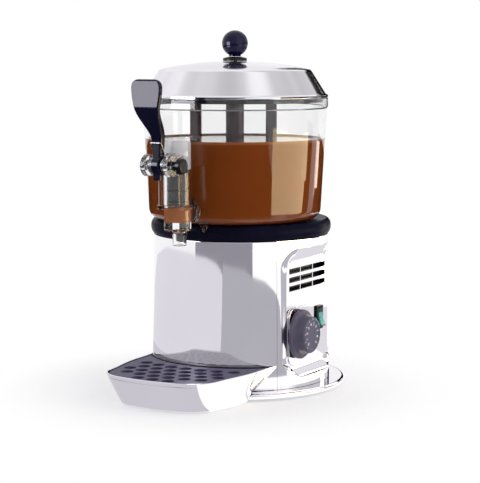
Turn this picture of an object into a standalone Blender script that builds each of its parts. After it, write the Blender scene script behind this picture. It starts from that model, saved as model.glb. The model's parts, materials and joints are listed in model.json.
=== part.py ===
"""Hot drink dispenser: a chrome column with a heated clear bowl, a lever tap and a drip tray.

Metres, +Z up. The tap and the tray face -Y, the control panel faces +X. The origin lies at table level
in the middle of the footprint. Run in Blender 4.5, from the text editor or in the background.
"""

import math

import bmesh
import bpy
from mathutils import Matrix, Vector

# Clearances
GAP = 0.0003                    # between pieces that seat on each other
RUNNING_GAP = 0.0003            # round pins, shafts and the piston

# Feet and base
FOOT_RADIUS = 0.009
FOOT_HEIGHT = 0.0027
FOOT_STUD_RADIUS = 0.0037
FOOT_STUD_LENGTH = 0.0033
FOOT_INSET = 0.0155             # foot circle, inside the column's foot
BASE_RADIUS = 0.121
BASE_THICKNESS = 0.006
BASE_EDGE = 0.003
BASE_RING_HEIGHT = 0.006
BASE_RING_WIDTH = 0.0045

# Column shells
COLUMN_INSET = 0.0175           # from the base's edge to the column
COLUMN_TAPER = 0.0023
COLUMN_HEIGHT = 0.1667
SHELL_WALL = 0.0025
SEAM_MARGIN = 0.0039            # from the control panel's rim to the seam

# Collar and deck
COLLAR_HEIGHT = 0.0177
COLLAR_PROUD = 0.0033           # beyond the column's top
COLLAR_BULGE = 0.0055
DECK_THICKNESS = 0.008
DECK_LIP_HEIGHT = 0.008
DECK_LIP_WIDTH = 0.0025

# Hot plate and what hangs under it
BOWL_OFFSET = 0.014             # the bowl and the drive stand this far in front of the column's axis
PLATE_INSET = 0.0312            # inside the column's top radius
PLATE_FLANGE = 0.0027
PLATE_LEDGE = 0.004
PLATE_DEPTH = 0.010
PLATE_PROUD = 0.0004
GASKET_CLEARANCE = 0.0035       # round the hot plate
GASKET_WIDTH = 0.005
GASKET_HEIGHT = 0.0019
GROOVE_DEPTH = 0.0015
ELEMENT_INSET = 0.020           # inside the hot plate's edge
ELEMENT_TUBE = 0.004
ELEMENT_OPENING = math.radians(28)
ELEMENT_LEG = 0.018
CUTOUT_RADIUS = 0.011
CUTOUT_HEIGHT = 0.008

# Drive
SHAFT_RADIUS = 0.004
SHAFT_SQUARE = 0.0055
SHAFT_SQUARE_LENGTH = 0.011
SHAFT_SEAT = 0.015
BUSH_WALL = 0.005
GEARBOX_LENGTH = 0.090
GEARBOX_WIDTH = 0.060
GEARBOX_HEIGHT = 0.036
GEARBOX_DROP = 0.029            # below the hot plate's underside
GEARBOX_CORNER = 0.008
MOTOR_RADIUS = 0.028
MOTOR_LENGTH = 0.062
MOTOR_SETBACK = 0.036
BRACKET_SHEET = 0.003
BRACKET_HALF_SPAN = 0.040
BRACKET_FOOT = 0.016
BRACKET_DEPTH = 0.076

# Control panel, a dished moulding in the column's right side
PANEL_DISH = 0.0136             # the flat, inside the column's top radius
PANEL_HALF_WIDTH = 0.050
PANEL_RAISE = 0.0207            # the flat's lower edge, above the column's foot
PANEL_DROP = 0.024              # the flat's upper edge, below the column's top
PANEL_CORNER = 0.016
PANEL_SIDE_RIM = 0.007
PANEL_TOP_RIM = 0.0145
PANEL_LOW_RIM = 0.009
PANEL_SHEET = 0.0025
VENT_COUNT = 3
VENT_BAYS = 3
VENT_END = 0.006                # from the flat's side edge
VENT_HEIGHT = 0.0062
VENT_PITCH = 0.0098
VENT_DROP = 0.0085
VENT_RIB = 0.0022
CONTROL_PLATE_SHEET = 0.0015
CONTROL_PLATE_SIDE = 0.0035     # from the flat's side edge
CONTROL_PLATE_FOOT = 0.0025     # above the flat's lower edge
CONTROL_PLATE_HEIGHT = 0.066
CONTROL_PLATE_CORNER = 0.013

# Thermostat
DIAL_Y = -0.0255
DIAL_RAISE = 0.038              # above the flat's lower edge
DIAL_STANDOFF = 0.0022
DIAL_SKIRT_RADIUS = 0.028
DIAL_SKIRT_THICKNESS = 0.004
DIAL_HUB_RADIUS = 0.0222
DIAL_FACE_RADIUS = 0.0202
DIAL_DEPTH = 0.0165
SPINDLE_RADIUS = 0.003
SPINDLE_SEAT = 0.006
SPINDLE_GRIP = 0.010
THERMOSTAT_RADIUS = 0.016
THERMOSTAT_DEPTH = 0.028

# Rocker switch
SWITCH_Y = 0.0245
SWITCH_RAISE = 0.050            # above the flat's lower edge
SWITCH_HALF_WIDTH = 0.0078
SWITCH_HALF_HEIGHT = 0.0138
SWITCH_BEZEL = 0.002
SWITCH_BODY_MARGIN = 0.001
SWITCH_BODY_DEPTH = 0.020
ROCKER_HALF_WIDTH = 0.0048
ROCKER_HALF_LENGTH = 0.0108
ROCKER_FRONT = 0.0042
ROCKER_WAIST = 0.0022
ROCKER_BACK = 0.0045
ROCKER_TILT = math.radians(11)
ROCKER_PIVOT_PROUD = 0.0012     # pivot in front of the bezel's back face
ROCKER_SIDE_GAP = 0.0006
ROCKER_POCKET = 0.0075

# Inner wiring parts and the inlet
TERMINAL_SIZE = (0.044, 0.018, 0.016)
TERMINAL_GAP = 0.004            # behind the motor bracket
TERMINAL_SIDE = 0.0064          # from the base's ring
TERMINAL_BAYS = 4
GLAND_RAISE = 0.0267            # above the column's foot
GLAND_BODY = 0.0078
GLAND_FLANGE = 0.011
GLAND_BORE = 0.0042
GLAND_PROUD = 0.006
GLAND_INSIDE = 0.008

# Bowl
BOWL_PROUD = 0.0018             # rim beyond the column's foot radius
BOWL_FLARE = 0.0063
BOWL_HEIGHT = 0.138
BOWL_WALL = 0.003
BOWL_FLOOR = 0.0035
BOWL_CORNER = 0.012
BOWL_LIFT = 0.001               # the bowl's floor above the deck
RIM_HEIGHT = 0.012
RIM_PROUD = 0.0013
UPSTAND_WALL = 0.0025
UPSTAND_BORE = 0.006
UPSTAND_DROP = 0.033            # below the bowl's rim
OUTLET_HEIGHT = 0.0166          # outlet axis above the bowl's floor underside
OUTLET_BORE = 0.0073
SPIGOT_RADIUS = 0.010
BOSS_RADIUS = 0.0145
BOSS_SETBACK = 0.0018           # boss face, behind the rim's edge
TAP_GASKET = 0.0015

# Tap
TAP_NECK = 0.0011               # bare duct between the flange and the tube
TAP_FLANGE = 0.0025
TUBE_RADIUS = 0.0148
TUBE_BORE = 0.012
TUBE_FLOOR_RISE = 0.006         # above the bowl's underside, as all rises in the tap
TUBE_PLINTH = 0.010             # solid foot of the tube, below its floor
TUBE_TOP_RISE = 0.0935
SPOUT_SHOULDER_DROP = 0.007     # below the bowl's underside
SPOUT_RADIUS = 0.0082
SPOUT_TIP_RADIUS = 0.0076
SPOUT_BORE = 0.0055
SPOUT_TIP_DROP = 0.0205
SPOUT_SETBACK = 0.004           # the spout stands behind the tube's axis
SHELF_HALF_WIDTH = 0.0168       # flat shelf round the foot of the tube
SHELF_FRONT = 0.0185
SHELF_RISE = 0.0195
SHELF_THICKNESS = 0.005
WEB_THICKNESS = 0.003           # plates from the shelf up to the ears
CATCH_HALF_WIDTH = 0.0065       # two catches under the bowl, in front of the collar
CATCH_SPREAD = 0.0145
CATCH_THICKNESS = 0.0032
CATCH_TOP = 0.0045
CATCH_TIP = 0.0105
PIVOT_REACH = 0.036             # lever pivot, in front of the tap axis
PIVOT_RISE = 0.069
EAR_INNER = 0.0113
EAR_THICKNESS = 0.006
EAR_RADIUS = 0.0118
EAR_ROOT = 0.0085
WINDOW_LOW_RISE = 0.0565
WINDOW_HIGH_RISE = 0.0815
WINDOW_HALF = 0.005
PIN_RADIUS = 0.0035
PIN_NECK_RADIUS = 0.005
PIN_NECK_LENGTH = 0.007
PIN_HEAD_RADIUS = 0.0087
PIN_HEAD_LENGTH = 0.0065
PIN_TAIL = 0.0035
CLIP_GROOVE = 0.0007
CLIP_THICKNESS = 0.001
CLIP_WIDTH = 0.003
CLIP_OPENING = math.radians(60)

# Lever
ARM_LENGTH = PIVOT_REACH
ARM_HALF_SWING = math.radians(15)
ARM_HALF_WIDTH = 0.0042
ARM_ROOT = 0.0044
ARM_END = 0.0016
ARM_TIP = 0.0045
HUB_RADIUS = 0.0108
HUB_HALF_WIDTH = 0.0045
BOSS_SIDE_RADIUS = 0.0062
LEVER_HEEL = 0.0155
LEVER_RISE = 0.092
LEVER_LEAN = 0.0215
LEVER_FORWARD = 0.002
LEVER_BEND_LOW = 0.027
LEVER_BEND_HIGH = 0.064
LEVER_NECK_HALF = 0.0063
PADDLE_HALF = 0.0185
PADDLE_CORNER = 0.0085
STEM_THICK = 0.0046
PADDLE_THICK = 0.0029
LEVER_EDGE = 0.0016
LEVER_STATIONS = 17

# Lever spring
WIRE = 0.0012
COIL_RADIUS = 0.0076
COIL_PITCH = 0.00174
COIL_TURNS = 2                  # whole turns, before the last part turn to the fixed leg
COIL_POINTS = 10
BAIL_HEIGHT = 0.0245
FIXED_LEG_GAP = 0.001

# Piston
PISTON_TOP_WALL = 0.005
PISTON_FOOT_RISE = 0.024
PISTON_STEM = 0.004
SEAL_RADIUS = 0.0103
SEAL_HEIGHT = 0.004
ORING_WIRE = 0.00075
ORING_SQUEEZE = 0.00015         # from the bore
ORING_LOW = 0.0045
ORING_HIGH = 0.0165

# Mixer
SLEEVE_WALL = 0.0013
SLEEVE_GAP = 0.0007
MIXER_CAP = 0.028
MIXER_ANGLE = math.radians(82)
UPRIGHT_INSET = 0.029           # from the bowl's foot radius
UPRIGHT_WIDTH = 0.015
UPRIGHT_THICKNESS = 0.004
UPRIGHT_DROP = 0.006            # below the bowl's rim, from its inner floor
ARM_BAR_INSET = 0.021           # from the bowl's foot radius
ARM_BAR_WIDTH = 0.012
ARM_BAR_HEIGHT = 0.008
MIXER_FLOOR_GAP = 0.0025

# Drink in the bowl
DRINK_DROP = 0.0475             # its level, below the bowl's rim
DRINK_GAP = 0.001               # round the bowl and over the mixer's arms
DRINK_SLOT_GAP = 0.0005         # round the sleeve and the uprights

# Lid
LID_SHEET = 0.0016
LID_RIM_DROP = 0.0028
LID_SKIRT_HEIGHT = 0.0285
LID_CROWN_INSET = 0.0188        # from the bowl's rim
LID_CROWN_RISE = 0.0095
LID_SHOULDER = 0.007
LID_PLUG = 0.005
LID_PLUG_GAP = 0.0006
KNOB_BASE_RADIUS = 0.014
KNOB_BASE_HEIGHT = 0.0048
KNOB_RADIUS = 0.0148
KNOB_NECK_RADIUS = 0.0068
KNOB_NECK_LENGTH = 0.0018
STUD_RADIUS = 0.0022
STUD_HEAD = 0.006
STUD_HEAD_HEIGHT = 0.0025
STUD_GRIP = 0.010

# Drip tray
TRAY_HEIGHT = 0.0365
TRAY_REACH = 0.069              # front corners, in front of the base
TRAY_BULGE = 0.014
TRAY_FRONT_HALF = 0.064
TRAY_INSET_FRONT = 0.016        # how far the front wall leans in at the foot
TRAY_INSET_SIDE = 0.010
TRAY_HEEL = 0.010               # height of the upright part of the back wall, beside the base
TRAY_WALL = 0.002
TRAY_FLOOR = 0.0022
TRAY_CORNER = 0.010
TRAY_CLEARANCE = 0.0005
LEDGE_WIDTH = 0.0025
GRID_THICKNESS = 0.0035
GRID_RECESS = 0.0008
GRID_HOLE = 0.0070
GRID_PITCH = 0.0192
GRID_ROW = 0.0168
GRID_MARGIN = 0.0035

# Fineness of round shapes
WIDE = 36
MEDIUM = 24
SMALL = 14

# Radii and widths that follow from the sizes above
COLUMN_LOW_RADIUS = BASE_RADIUS - COLUMN_INSET
COLUMN_TOP_RADIUS = COLUMN_LOW_RADIUS - COLUMN_TAPER
FOOT_CIRCLE = COLUMN_LOW_RADIUS - FOOT_INSET
COLLAR_RADIUS = COLUMN_TOP_RADIUS + COLLAR_PROUD
PANEL_PLANE = COLUMN_TOP_RADIUS - PANEL_DISH
SEAM_ANGLE = math.acos((PANEL_HALF_WIDTH + PANEL_SIDE_RIM + SEAM_MARGIN) / COLUMN_TOP_RADIUS)
VENT_HALF_LENGTH = PANEL_HALF_WIDTH - VENT_END
CONTROL_PLATE_HALF = PANEL_HALF_WIDTH - CONTROL_PLATE_SIDE
PLATE_RADIUS = COLUMN_TOP_RADIUS - PLATE_INSET
GASKET_INNER = PLATE_RADIUS + GASKET_CLEARANCE
ELEMENT_RADIUS = PLATE_RADIUS - ELEMENT_INSET
CUTOUT_CIRCLE = (SHAFT_RADIUS + RUNNING_GAP + BUSH_WALL + ELEMENT_RADIUS - ELEMENT_TUBE) / 2.0
BOWL_RIM_RADIUS = COLUMN_LOW_RADIUS + BOWL_PROUD
BOWL_FOOT_RADIUS = BOWL_RIM_RADIUS - BOWL_FLARE
BOSS_REACH = BOWL_RIM_RADIUS - BOSS_SETBACK
TAP_REACH = BOSS_REACH + 2.0 * GAP + TAP_GASKET + TAP_FLANGE + TAP_NECK + TUBE_RADIUS
UPSTAND_RADIUS = UPSTAND_BORE + UPSTAND_WALL
UPRIGHT_CIRCLE = BOWL_FOOT_RADIUS - UPRIGHT_INSET
ARM_BAR_LENGTH = BOWL_FOOT_RADIUS - ARM_BAR_INSET
LID_CROWN_RADIUS = BOWL_RIM_RADIUS - LID_CROWN_INSET
TRAY_FRONT = BASE_RADIUS + TRAY_REACH

# Levels that several pieces share
BASE_LOW = FOOT_HEIGHT + GAP
BASE_TOP = BASE_LOW + BASE_THICKNESS
SHELL_LOW = BASE_TOP + GAP
SHELL_TOP = SHELL_LOW + COLUMN_HEIGHT
COLLAR_LOW = SHELL_TOP + GAP
DECK_TOP = COLLAR_LOW + COLLAR_HEIGHT
DECK_LOW = DECK_TOP - DECK_THICKNESS
PLATE_LOW = DECK_TOP - PLATE_DEPTH
GEARBOX_TOP = PLATE_LOW - GEARBOX_DROP
PANEL_LOW = SHELL_LOW + PANEL_RAISE
PANEL_HIGH = SHELL_TOP - PANEL_DROP
VENT_TOP = PANEL_HIGH - VENT_DROP
CONTROL_PLATE_LOW = PANEL_LOW + CONTROL_PLATE_FOOT
CONTROL_PLATE_HIGH = CONTROL_PLATE_LOW + CONTROL_PLATE_HEIGHT
DIAL_Z = PANEL_LOW + DIAL_RAISE
SWITCH_Z = PANEL_LOW + SWITCH_RAISE
GLAND_Z = SHELL_LOW + GLAND_RAISE
BOWL_LOW = DECK_TOP + BOWL_LIFT
BOWL_TOP = BOWL_LOW + BOWL_HEIGHT
BOWL_FLOOR_TOP = BOWL_LOW + BOWL_FLOOR
UPSTAND_HEIGHT = BOWL_HEIGHT - UPSTAND_DROP
UPSTAND_TOP = BOWL_LOW + UPSTAND_HEIGHT
UPRIGHT_TOP = BOWL_HEIGHT - UPRIGHT_DROP
SQUARE_LOW = UPSTAND_TOP - GAP
SHAFT_TOP = SQUARE_LOW + SHAFT_SQUARE_LENGTH
OUTLET_Z = BOWL_LOW + OUTLET_HEIGHT
SPOUT_TIP = BOWL_LOW - SPOUT_TIP_DROP
SPOUT_SHOULDER = BOWL_LOW - SPOUT_SHOULDER_DROP
TUBE_FLOOR = BOWL_LOW + TUBE_FLOOR_RISE
TUBE_TOP = BOWL_LOW + TUBE_TOP_RISE
SHELF_LOW = BOWL_LOW + SHELF_RISE
PISTON_FOOT = BOWL_LOW + PISTON_FOOT_RISE
WINDOW_LOW = BOWL_LOW + WINDOW_LOW_RISE
WINDOW_HIGH = BOWL_LOW + WINDOW_HIGH_RISE
PIVOT_Z = BOWL_LOW + PIVOT_RISE
LID_LOW = BOWL_TOP + GAP
LID_SHOULDER_Z = LID_LOW + LID_RIM_DROP + LID_SKIRT_HEIGHT
LID_TOP = LID_SHOULDER_Z + LID_CROWN_RISE
ARM_TIP_Z = PIVOT_Z - ARM_LENGTH * math.sin(ARM_HALF_SWING)
SLOT_HALF = ARM_TIP + RUNNING_GAP

# Upright axes, from the column's axis
BOWL_AXIS = (0.0, -BOWL_OFFSET)
TAP_AXIS = (0.0, -BOWL_OFFSET - TAP_REACH)
PIVOT = Vector((0.0, TAP_AXIS[1] - PIVOT_REACH, PIVOT_Z))

FINISHES = {
    "chrome": ((0.78, 0.78, 0.80), 0.08, 1.0),
    "navy": ((0.020, 0.020, 0.060), 0.25, 0.0),
    "black": ((0.012, 0.012, 0.014), 0.35, 0.0),
    "clear": ((0.92, 0.94, 0.95), 0.05, 0.0),
    "rubber": ((0.030, 0.030, 0.032), 0.80, 0.0),
    "steel": ((0.60, 0.60, 0.61), 0.30, 1.0),
    "aluminium": ((0.66, 0.67, 0.68), 0.40, 1.0),
    "brass": ((0.62, 0.45, 0.20), 0.35, 1.0),
    "grey": ((0.085, 0.080, 0.105), 0.45, 0.0),
    "teal": ((0.050, 0.300, 0.270), 0.25, 0.0),
    "cream": ((0.60, 0.57, 0.50), 0.55, 0.0),
    "chocolate": ((0.150, 0.050, 0.018), 0.35, 0.0),
}


def clear_scene():
    for item in list(bpy.data.objects):
        bpy.data.objects.remove(item, do_unlink=True)


def finish_material(name):
    material = bpy.data.materials.get(name)
    if material is None:
        colour, roughness, metallic = FINISHES[name]
        material = bpy.data.materials.new(name)
        material.use_nodes = True
        shader = material.node_tree.nodes["Principled BSDF"]
        shader.inputs["Base Color"].default_value = (*colour, 1.0)
        shader.inputs["Roughness"].default_value = roughness
        shader.inputs["Metallic"].default_value = metallic
    return material


def place(name, bm, origin=(0.0, 0.0, 0.0), turn=(0.0, 0.0, 0.0)):
    """Turn a bmesh into an object at its own origin, under the machine's axis."""
    mesh = bpy.data.meshes.new(name)
    bm.to_mesh(mesh)
    bm.free()
    piece = bpy.data.objects.new(name, mesh)
    bpy.context.scene.collection.objects.link(piece)
    piece.location = origin
    piece.rotation_euler = turn
    piece.parent = bpy.data.objects["column_axis"]
    return piece


def finish(piece, finish_name):
    """Give a piece its own copy of a finish, and smooth shading with sharp edges."""
    material = finish_material(finish_name).copy()
    material.name = piece.name + "_" + finish_name
    piece.data.materials.clear()
    piece.data.materials.append(material)
    if piece.type == "MESH":
        piece.data.shade_smooth()
        piece.data.set_sharp_from_angle(angle=math.radians(32))
    return piece


def combine(piece, helper, operation):
    """Boolean a helper solid with a piece, then drop the helper."""
    modifier = piece.modifiers.new(operation.lower(), "BOOLEAN")
    modifier.operation = operation
    modifier.solver = "EXACT"
    modifier.object = helper
    bpy.context.view_layer.update()
    depsgraph = bpy.context.evaluated_depsgraph_get()
    result = bpy.data.meshes.new_from_object(piece.evaluated_get(depsgraph))
    piece.modifiers.clear()
    piece.data = result
    bpy.data.objects.remove(helper, do_unlink=True)


def cut(piece, helper):
    combine(piece, helper, "DIFFERENCE")


def join(piece, helper):
    combine(piece, helper, "UNION")


def smooth_step(value):
    value = min(max(value, 0.0), 1.0)
    return value * value * (3.0 - 2.0 * value)


def arc(centre, radius, start, end, steps):
    """Points on an arc, both ends included, angles in radians."""
    points = []
    for index in range(steps + 1):
        angle = start + (end - start) * index / steps
        points.append((centre[0] + radius * math.cos(angle), centre[1] + radius * math.sin(angle)))
    return points


def oval_arc(centre, half_wide, half_high, start, end, steps):
    points = []
    for index in range(steps + 1):
        angle = start + (end - start) * index / steps
        points.append((centre[0] + half_wide * math.cos(angle), centre[1] + half_high * math.sin(angle)))
    return points


def rounded(corners, radius, steps=4):
    """A closed outline with every corner turned into an arc of the given radius."""
    points = []
    count = len(corners)
    for index in range(count):
        here = Vector(corners[index])
        before = (Vector(corners[index - 1]) - here).normalized()
        after = (Vector(corners[(index + 1) % count]) - here).normalized()
        half = before.angle(after) / 2.0
        reach = radius / math.tan(half)
        centre = here + (before + after).normalized() * (radius / math.sin(half))
        first = here + before * reach - centre
        last = here + after * reach - centre
        swing = first.angle_signed(last)
        for step in range(steps + 1):
            spoke = first.copy()
            spoke.rotate(Matrix.Rotation(-swing * step / steps, 2))
            points.append(tuple(centre + spoke))
    return points


def rectangle(low_a, high_a, low_b, high_b):
    return [(low_a, low_b), (high_a, low_b), (high_a, high_b), (low_a, high_b)]


def lathe(outline, steps, start=0.0, sweep=2.0 * math.pi):
    """Spin an outline of (radius, height) points round Z into a closed solid."""
    bm = bmesh.new()
    verts = []
    for radius, height in outline:
        verts.append(bm.verts.new((radius * math.cos(start), radius * math.sin(start), height)))
    edges = [bm.edges.new(pair) for pair in zip(verts, verts[1:])]
    is_ring = outline[0][0] > 0.0
    if is_ring:
        edges.append(bm.edges.new((verts[-1], verts[0])))
    full = sweep > 2.0 * math.pi - 0.0001
    bmesh.ops.spin(bm, geom=verts + edges, cent=(0, 0, 0), axis=(0, 0, 1), dvec=(0, 0, 0),
                   angle=sweep, steps=steps, use_merge=full)
    bmesh.ops.remove_doubles(bm, verts=bm.verts, dist=0.000001)
    if not full:
        open_edges = [edge for edge in bm.edges if edge.is_boundary]
        bmesh.ops.holes_fill(bm, edges=open_edges, sides=0)
    bmesh.ops.recalc_face_normals(bm, faces=bm.faces)
    return bm


def prism(outline, low, high, along="Z"):
    """Extrude a closed outline. Along Z it lies in XY, along X in YZ, along Y in XZ."""
    lift = {
        "Z": lambda a, b, c: (a, b, c),
        "X": lambda a, b, c: (c, a, b),
        "Y": lambda a, b, c: (a, c, b),
    }[along]
    bm = bmesh.new()
    face = bm.faces.new([bm.verts.new(lift(a, b, low)) for a, b in outline])
    extruded = bmesh.ops.extrude_face_region(bm, geom=[face])
    moved = [item for item in extruded["geom"] if isinstance(item, bmesh.types.BMVert)]
    bmesh.ops.translate(bm, verts=moved, vec=Vector(lift(0.0, 0.0, high - low)))
    bmesh.ops.recalc_face_normals(bm, faces=bm.faces)
    return bm


def loft(rings):
    """Bridge closed rings of equal count into one capped solid."""
    bm = bmesh.new()
    loops = []
    for ring in rings:
        verts = [bm.verts.new(point) for point in ring]
        loops.append([bm.edges.new((verts[index - 1], verts[index])) for index in range(len(verts))])
        if ring is rings[0] or ring is rings[-1]:
            bm.faces.new(verts)
    for lower, upper in zip(loops, loops[1:]):
        bmesh.ops.bridge_loops(bm, edges=lower + upper)
    bmesh.ops.recalc_face_normals(bm, faces=bm.faces)
    return bm


def ring(centre, radius, height, steps=MEDIUM):
    """A level circle of points, for lofts."""
    return [(x, y, height) for x, y in arc(centre, radius, 0.0, 2.0 * math.pi * (steps - 1) / steps,
                                           steps - 1)]


def block(name, low, high):
    """A plain box between two corners, for cuts and pockets."""
    return place(name, prism(rectangle(low[0], high[0], low[1], high[1]), low[2], high[2]))


def rod(name, radius, start, end, along, across=(0.0, 0.0), steps=SMALL):
    """A plain round bar along X, Y or Z, for joins and cuts."""
    return place(name, prism(arc(across, radius, 0.0, 2.0 * math.pi * (steps - 1) / steps, steps - 1),
                             start, end, along))


def column_radius(height):
    """Outer radius of the tapered column at a height."""
    share = (height - SHELL_LOW) / COLUMN_HEIGHT
    return COLUMN_LOW_RADIUS + (COLUMN_TOP_RADIUS - COLUMN_LOW_RADIUS) * share


# Base

def foot_places():
    for index, name in enumerate(("rear_right", "rear_left", "front_left", "front_right")):
        angle = math.radians(45 + 90 * index)
        yield "foot_" + name, FOOT_CIRCLE * math.cos(angle), FOOT_CIRCLE * math.sin(angle)


def make_feet():
    edge = FOOT_HEIGHT / 3.0
    outline = [(0.0, 0.0), (FOOT_RADIUS - edge, 0.0), (FOOT_RADIUS, edge), (FOOT_RADIUS, FOOT_HEIGHT),
               (FOOT_STUD_RADIUS, FOOT_HEIGHT), (FOOT_STUD_RADIUS, FOOT_HEIGHT + FOOT_STUD_LENGTH),
               (0.0, FOOT_HEIGHT + FOOT_STUD_LENGTH)]
    for name, x, y in foot_places():
        finish(place(name, lathe(outline, SMALL), (x, y, 0.0)), "rubber")


def make_base_plate():
    ring_outer = COLUMN_LOW_RADIUS - SHELL_WALL - 2.0 * GAP
    ring_inner = ring_outer - BASE_RING_WIDTH
    ring_top = BASE_TOP + BASE_RING_HEIGHT
    edge = arc((BASE_RADIUS - BASE_EDGE, BASE_TOP - BASE_EDGE), BASE_EDGE, 0.0, math.pi / 2.0, 3)
    outline = [(0.0, BASE_LOW), (BASE_RADIUS - BASE_EDGE / 2.0, BASE_LOW),
               (BASE_RADIUS, BASE_LOW + BASE_EDGE / 2.0)]
    outline += edge
    outline += [(ring_outer, BASE_TOP), (ring_outer, ring_top), (ring_inner, ring_top),
                (ring_inner, BASE_TOP), (0.0, BASE_TOP)]
    base = place("base_plate", lathe(outline, WIDE))
    for name, x, y in foot_places():
        cut(base, rod("stud_hole", FOOT_STUD_RADIUS + GAP, BASE_LOW - GAP,
                      FOOT_HEIGHT + FOOT_STUD_LENGTH + GAP, "Z", (x, y)))
    finish(base, "chrome")


# Column

def shell_outline():
    return [(COLUMN_LOW_RADIUS, SHELL_LOW), (COLUMN_TOP_RADIUS, SHELL_TOP),
            (COLUMN_TOP_RADIUS - SHELL_WALL, SHELL_TOP), (COLUMN_LOW_RADIUS - SHELL_WALL, SHELL_LOW)]


def panel_outline(grow=0.0):
    """The dished panel's outer edge, in (Y, Z)."""
    half = PANEL_HALF_WIDTH + PANEL_SIDE_RIM + grow
    corners = rectangle(-half, half, PANEL_LOW - PANEL_LOW_RIM - grow, PANEL_HIGH + PANEL_TOP_RIM + grow)
    return rounded(corners, PANEL_CORNER + PANEL_SIDE_RIM + grow, 6)


def make_column():
    front = place("front_cover", lathe(shell_outline(), 20, -math.pi / 2.0 - SEAM_ANGLE,
                                       2.0 * SEAM_ANGLE))
    finish(front, "chrome")
    seam_gap = GAP / COLUMN_LOW_RADIUS
    rear = place("rear_housing", lathe(shell_outline(), 44, -math.pi / 2.0 + SEAM_ANGLE + seam_gap,
                                       2.0 * (math.pi - SEAM_ANGLE - seam_gap)))
    cut(rear, place("panel_window", prism(panel_outline(GAP), PANEL_PLANE / 2.0, BASE_RADIUS, "X")))
    cut(rear, rod("gland_hole", GLAND_BODY + GAP, COLUMN_TOP_RADIUS / 2.0, BASE_RADIUS, "Y",
                  (0.0, GLAND_Z)))
    finish(rear, "chrome")


def make_control_panel():
    """A flat face sunk in the column, with a sloped rim that rises to the column's own curve."""
    inner = rounded(rectangle(-PANEL_HALF_WIDTH, PANEL_HALF_WIDTH, PANEL_LOW, PANEL_HIGH),
                    PANEL_CORNER, 6)
    outer = panel_outline()
    back = PANEL_PLANE - PANEL_SHEET
    face_ring = [(PANEL_PLANE, y, z) for y, z in inner]
    rim_ring = [(math.sqrt(column_radius(z) ** 2 - y * y), y, z) for y, z in outer]
    rim_back_ring = [(x - PANEL_SHEET, y, z) for x, y, z in rim_ring]
    back_ring = [(back, y, z) for y, z in inner]
    panel = place("control_panel", loft([face_ring, rim_ring, rim_back_ring, back_ring]))
    bay = (2.0 * VENT_HALF_LENGTH - (VENT_BAYS - 1) * VENT_RIB) / VENT_BAYS
    for row in range(VENT_COUNT):
        top = VENT_TOP - row * VENT_PITCH
        for column in range(VENT_BAYS):
            left = -VENT_HALF_LENGTH + column * (bay + VENT_RIB)
            cut(panel, block("vent", (back - PANEL_SHEET, left, top - VENT_HEIGHT),
                             (PANEL_PLANE + PANEL_SHEET, left + bay, top)))
    for hole in control_holes(back - PANEL_SHEET, PANEL_PLANE + PANEL_SHEET):
        cut(panel, hole)
    finish(panel, "chrome")


def control_holes(low, high):
    """The spindle's and the switch's openings, which the panel and its plate share."""
    half_width = SWITCH_HALF_WIDTH - SWITCH_BODY_MARGIN + GAP
    half_height = SWITCH_HALF_HEIGHT - SWITCH_BODY_MARGIN + GAP
    return [
        rod("spindle_hole", SPINDLE_RADIUS + 3.0 * GAP, low, high, "X", (DIAL_Y, DIAL_Z)),
        block("switch_hole", (low, SWITCH_Y - half_width, SWITCH_Z - half_height),
              (high, SWITCH_Y + half_width, SWITCH_Z + half_height)),
    ]


def control_plate_face():
    return PANEL_PLANE + GAP + CONTROL_PLATE_SHEET


def make_control_plate():
    outline = rounded(rectangle(-CONTROL_PLATE_HALF, CONTROL_PLATE_HALF, CONTROL_PLATE_LOW,
                                CONTROL_PLATE_HIGH),
                      CONTROL_PLATE_CORNER, 4)
    plate = place("control_plate", prism(outline, PANEL_PLANE + GAP, control_plate_face(), "X"))
    for hole in control_holes(PANEL_PLANE, control_plate_face() + GAP):
        cut(plate, hole)
    finish(plate, "chrome")


# Controls

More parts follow.
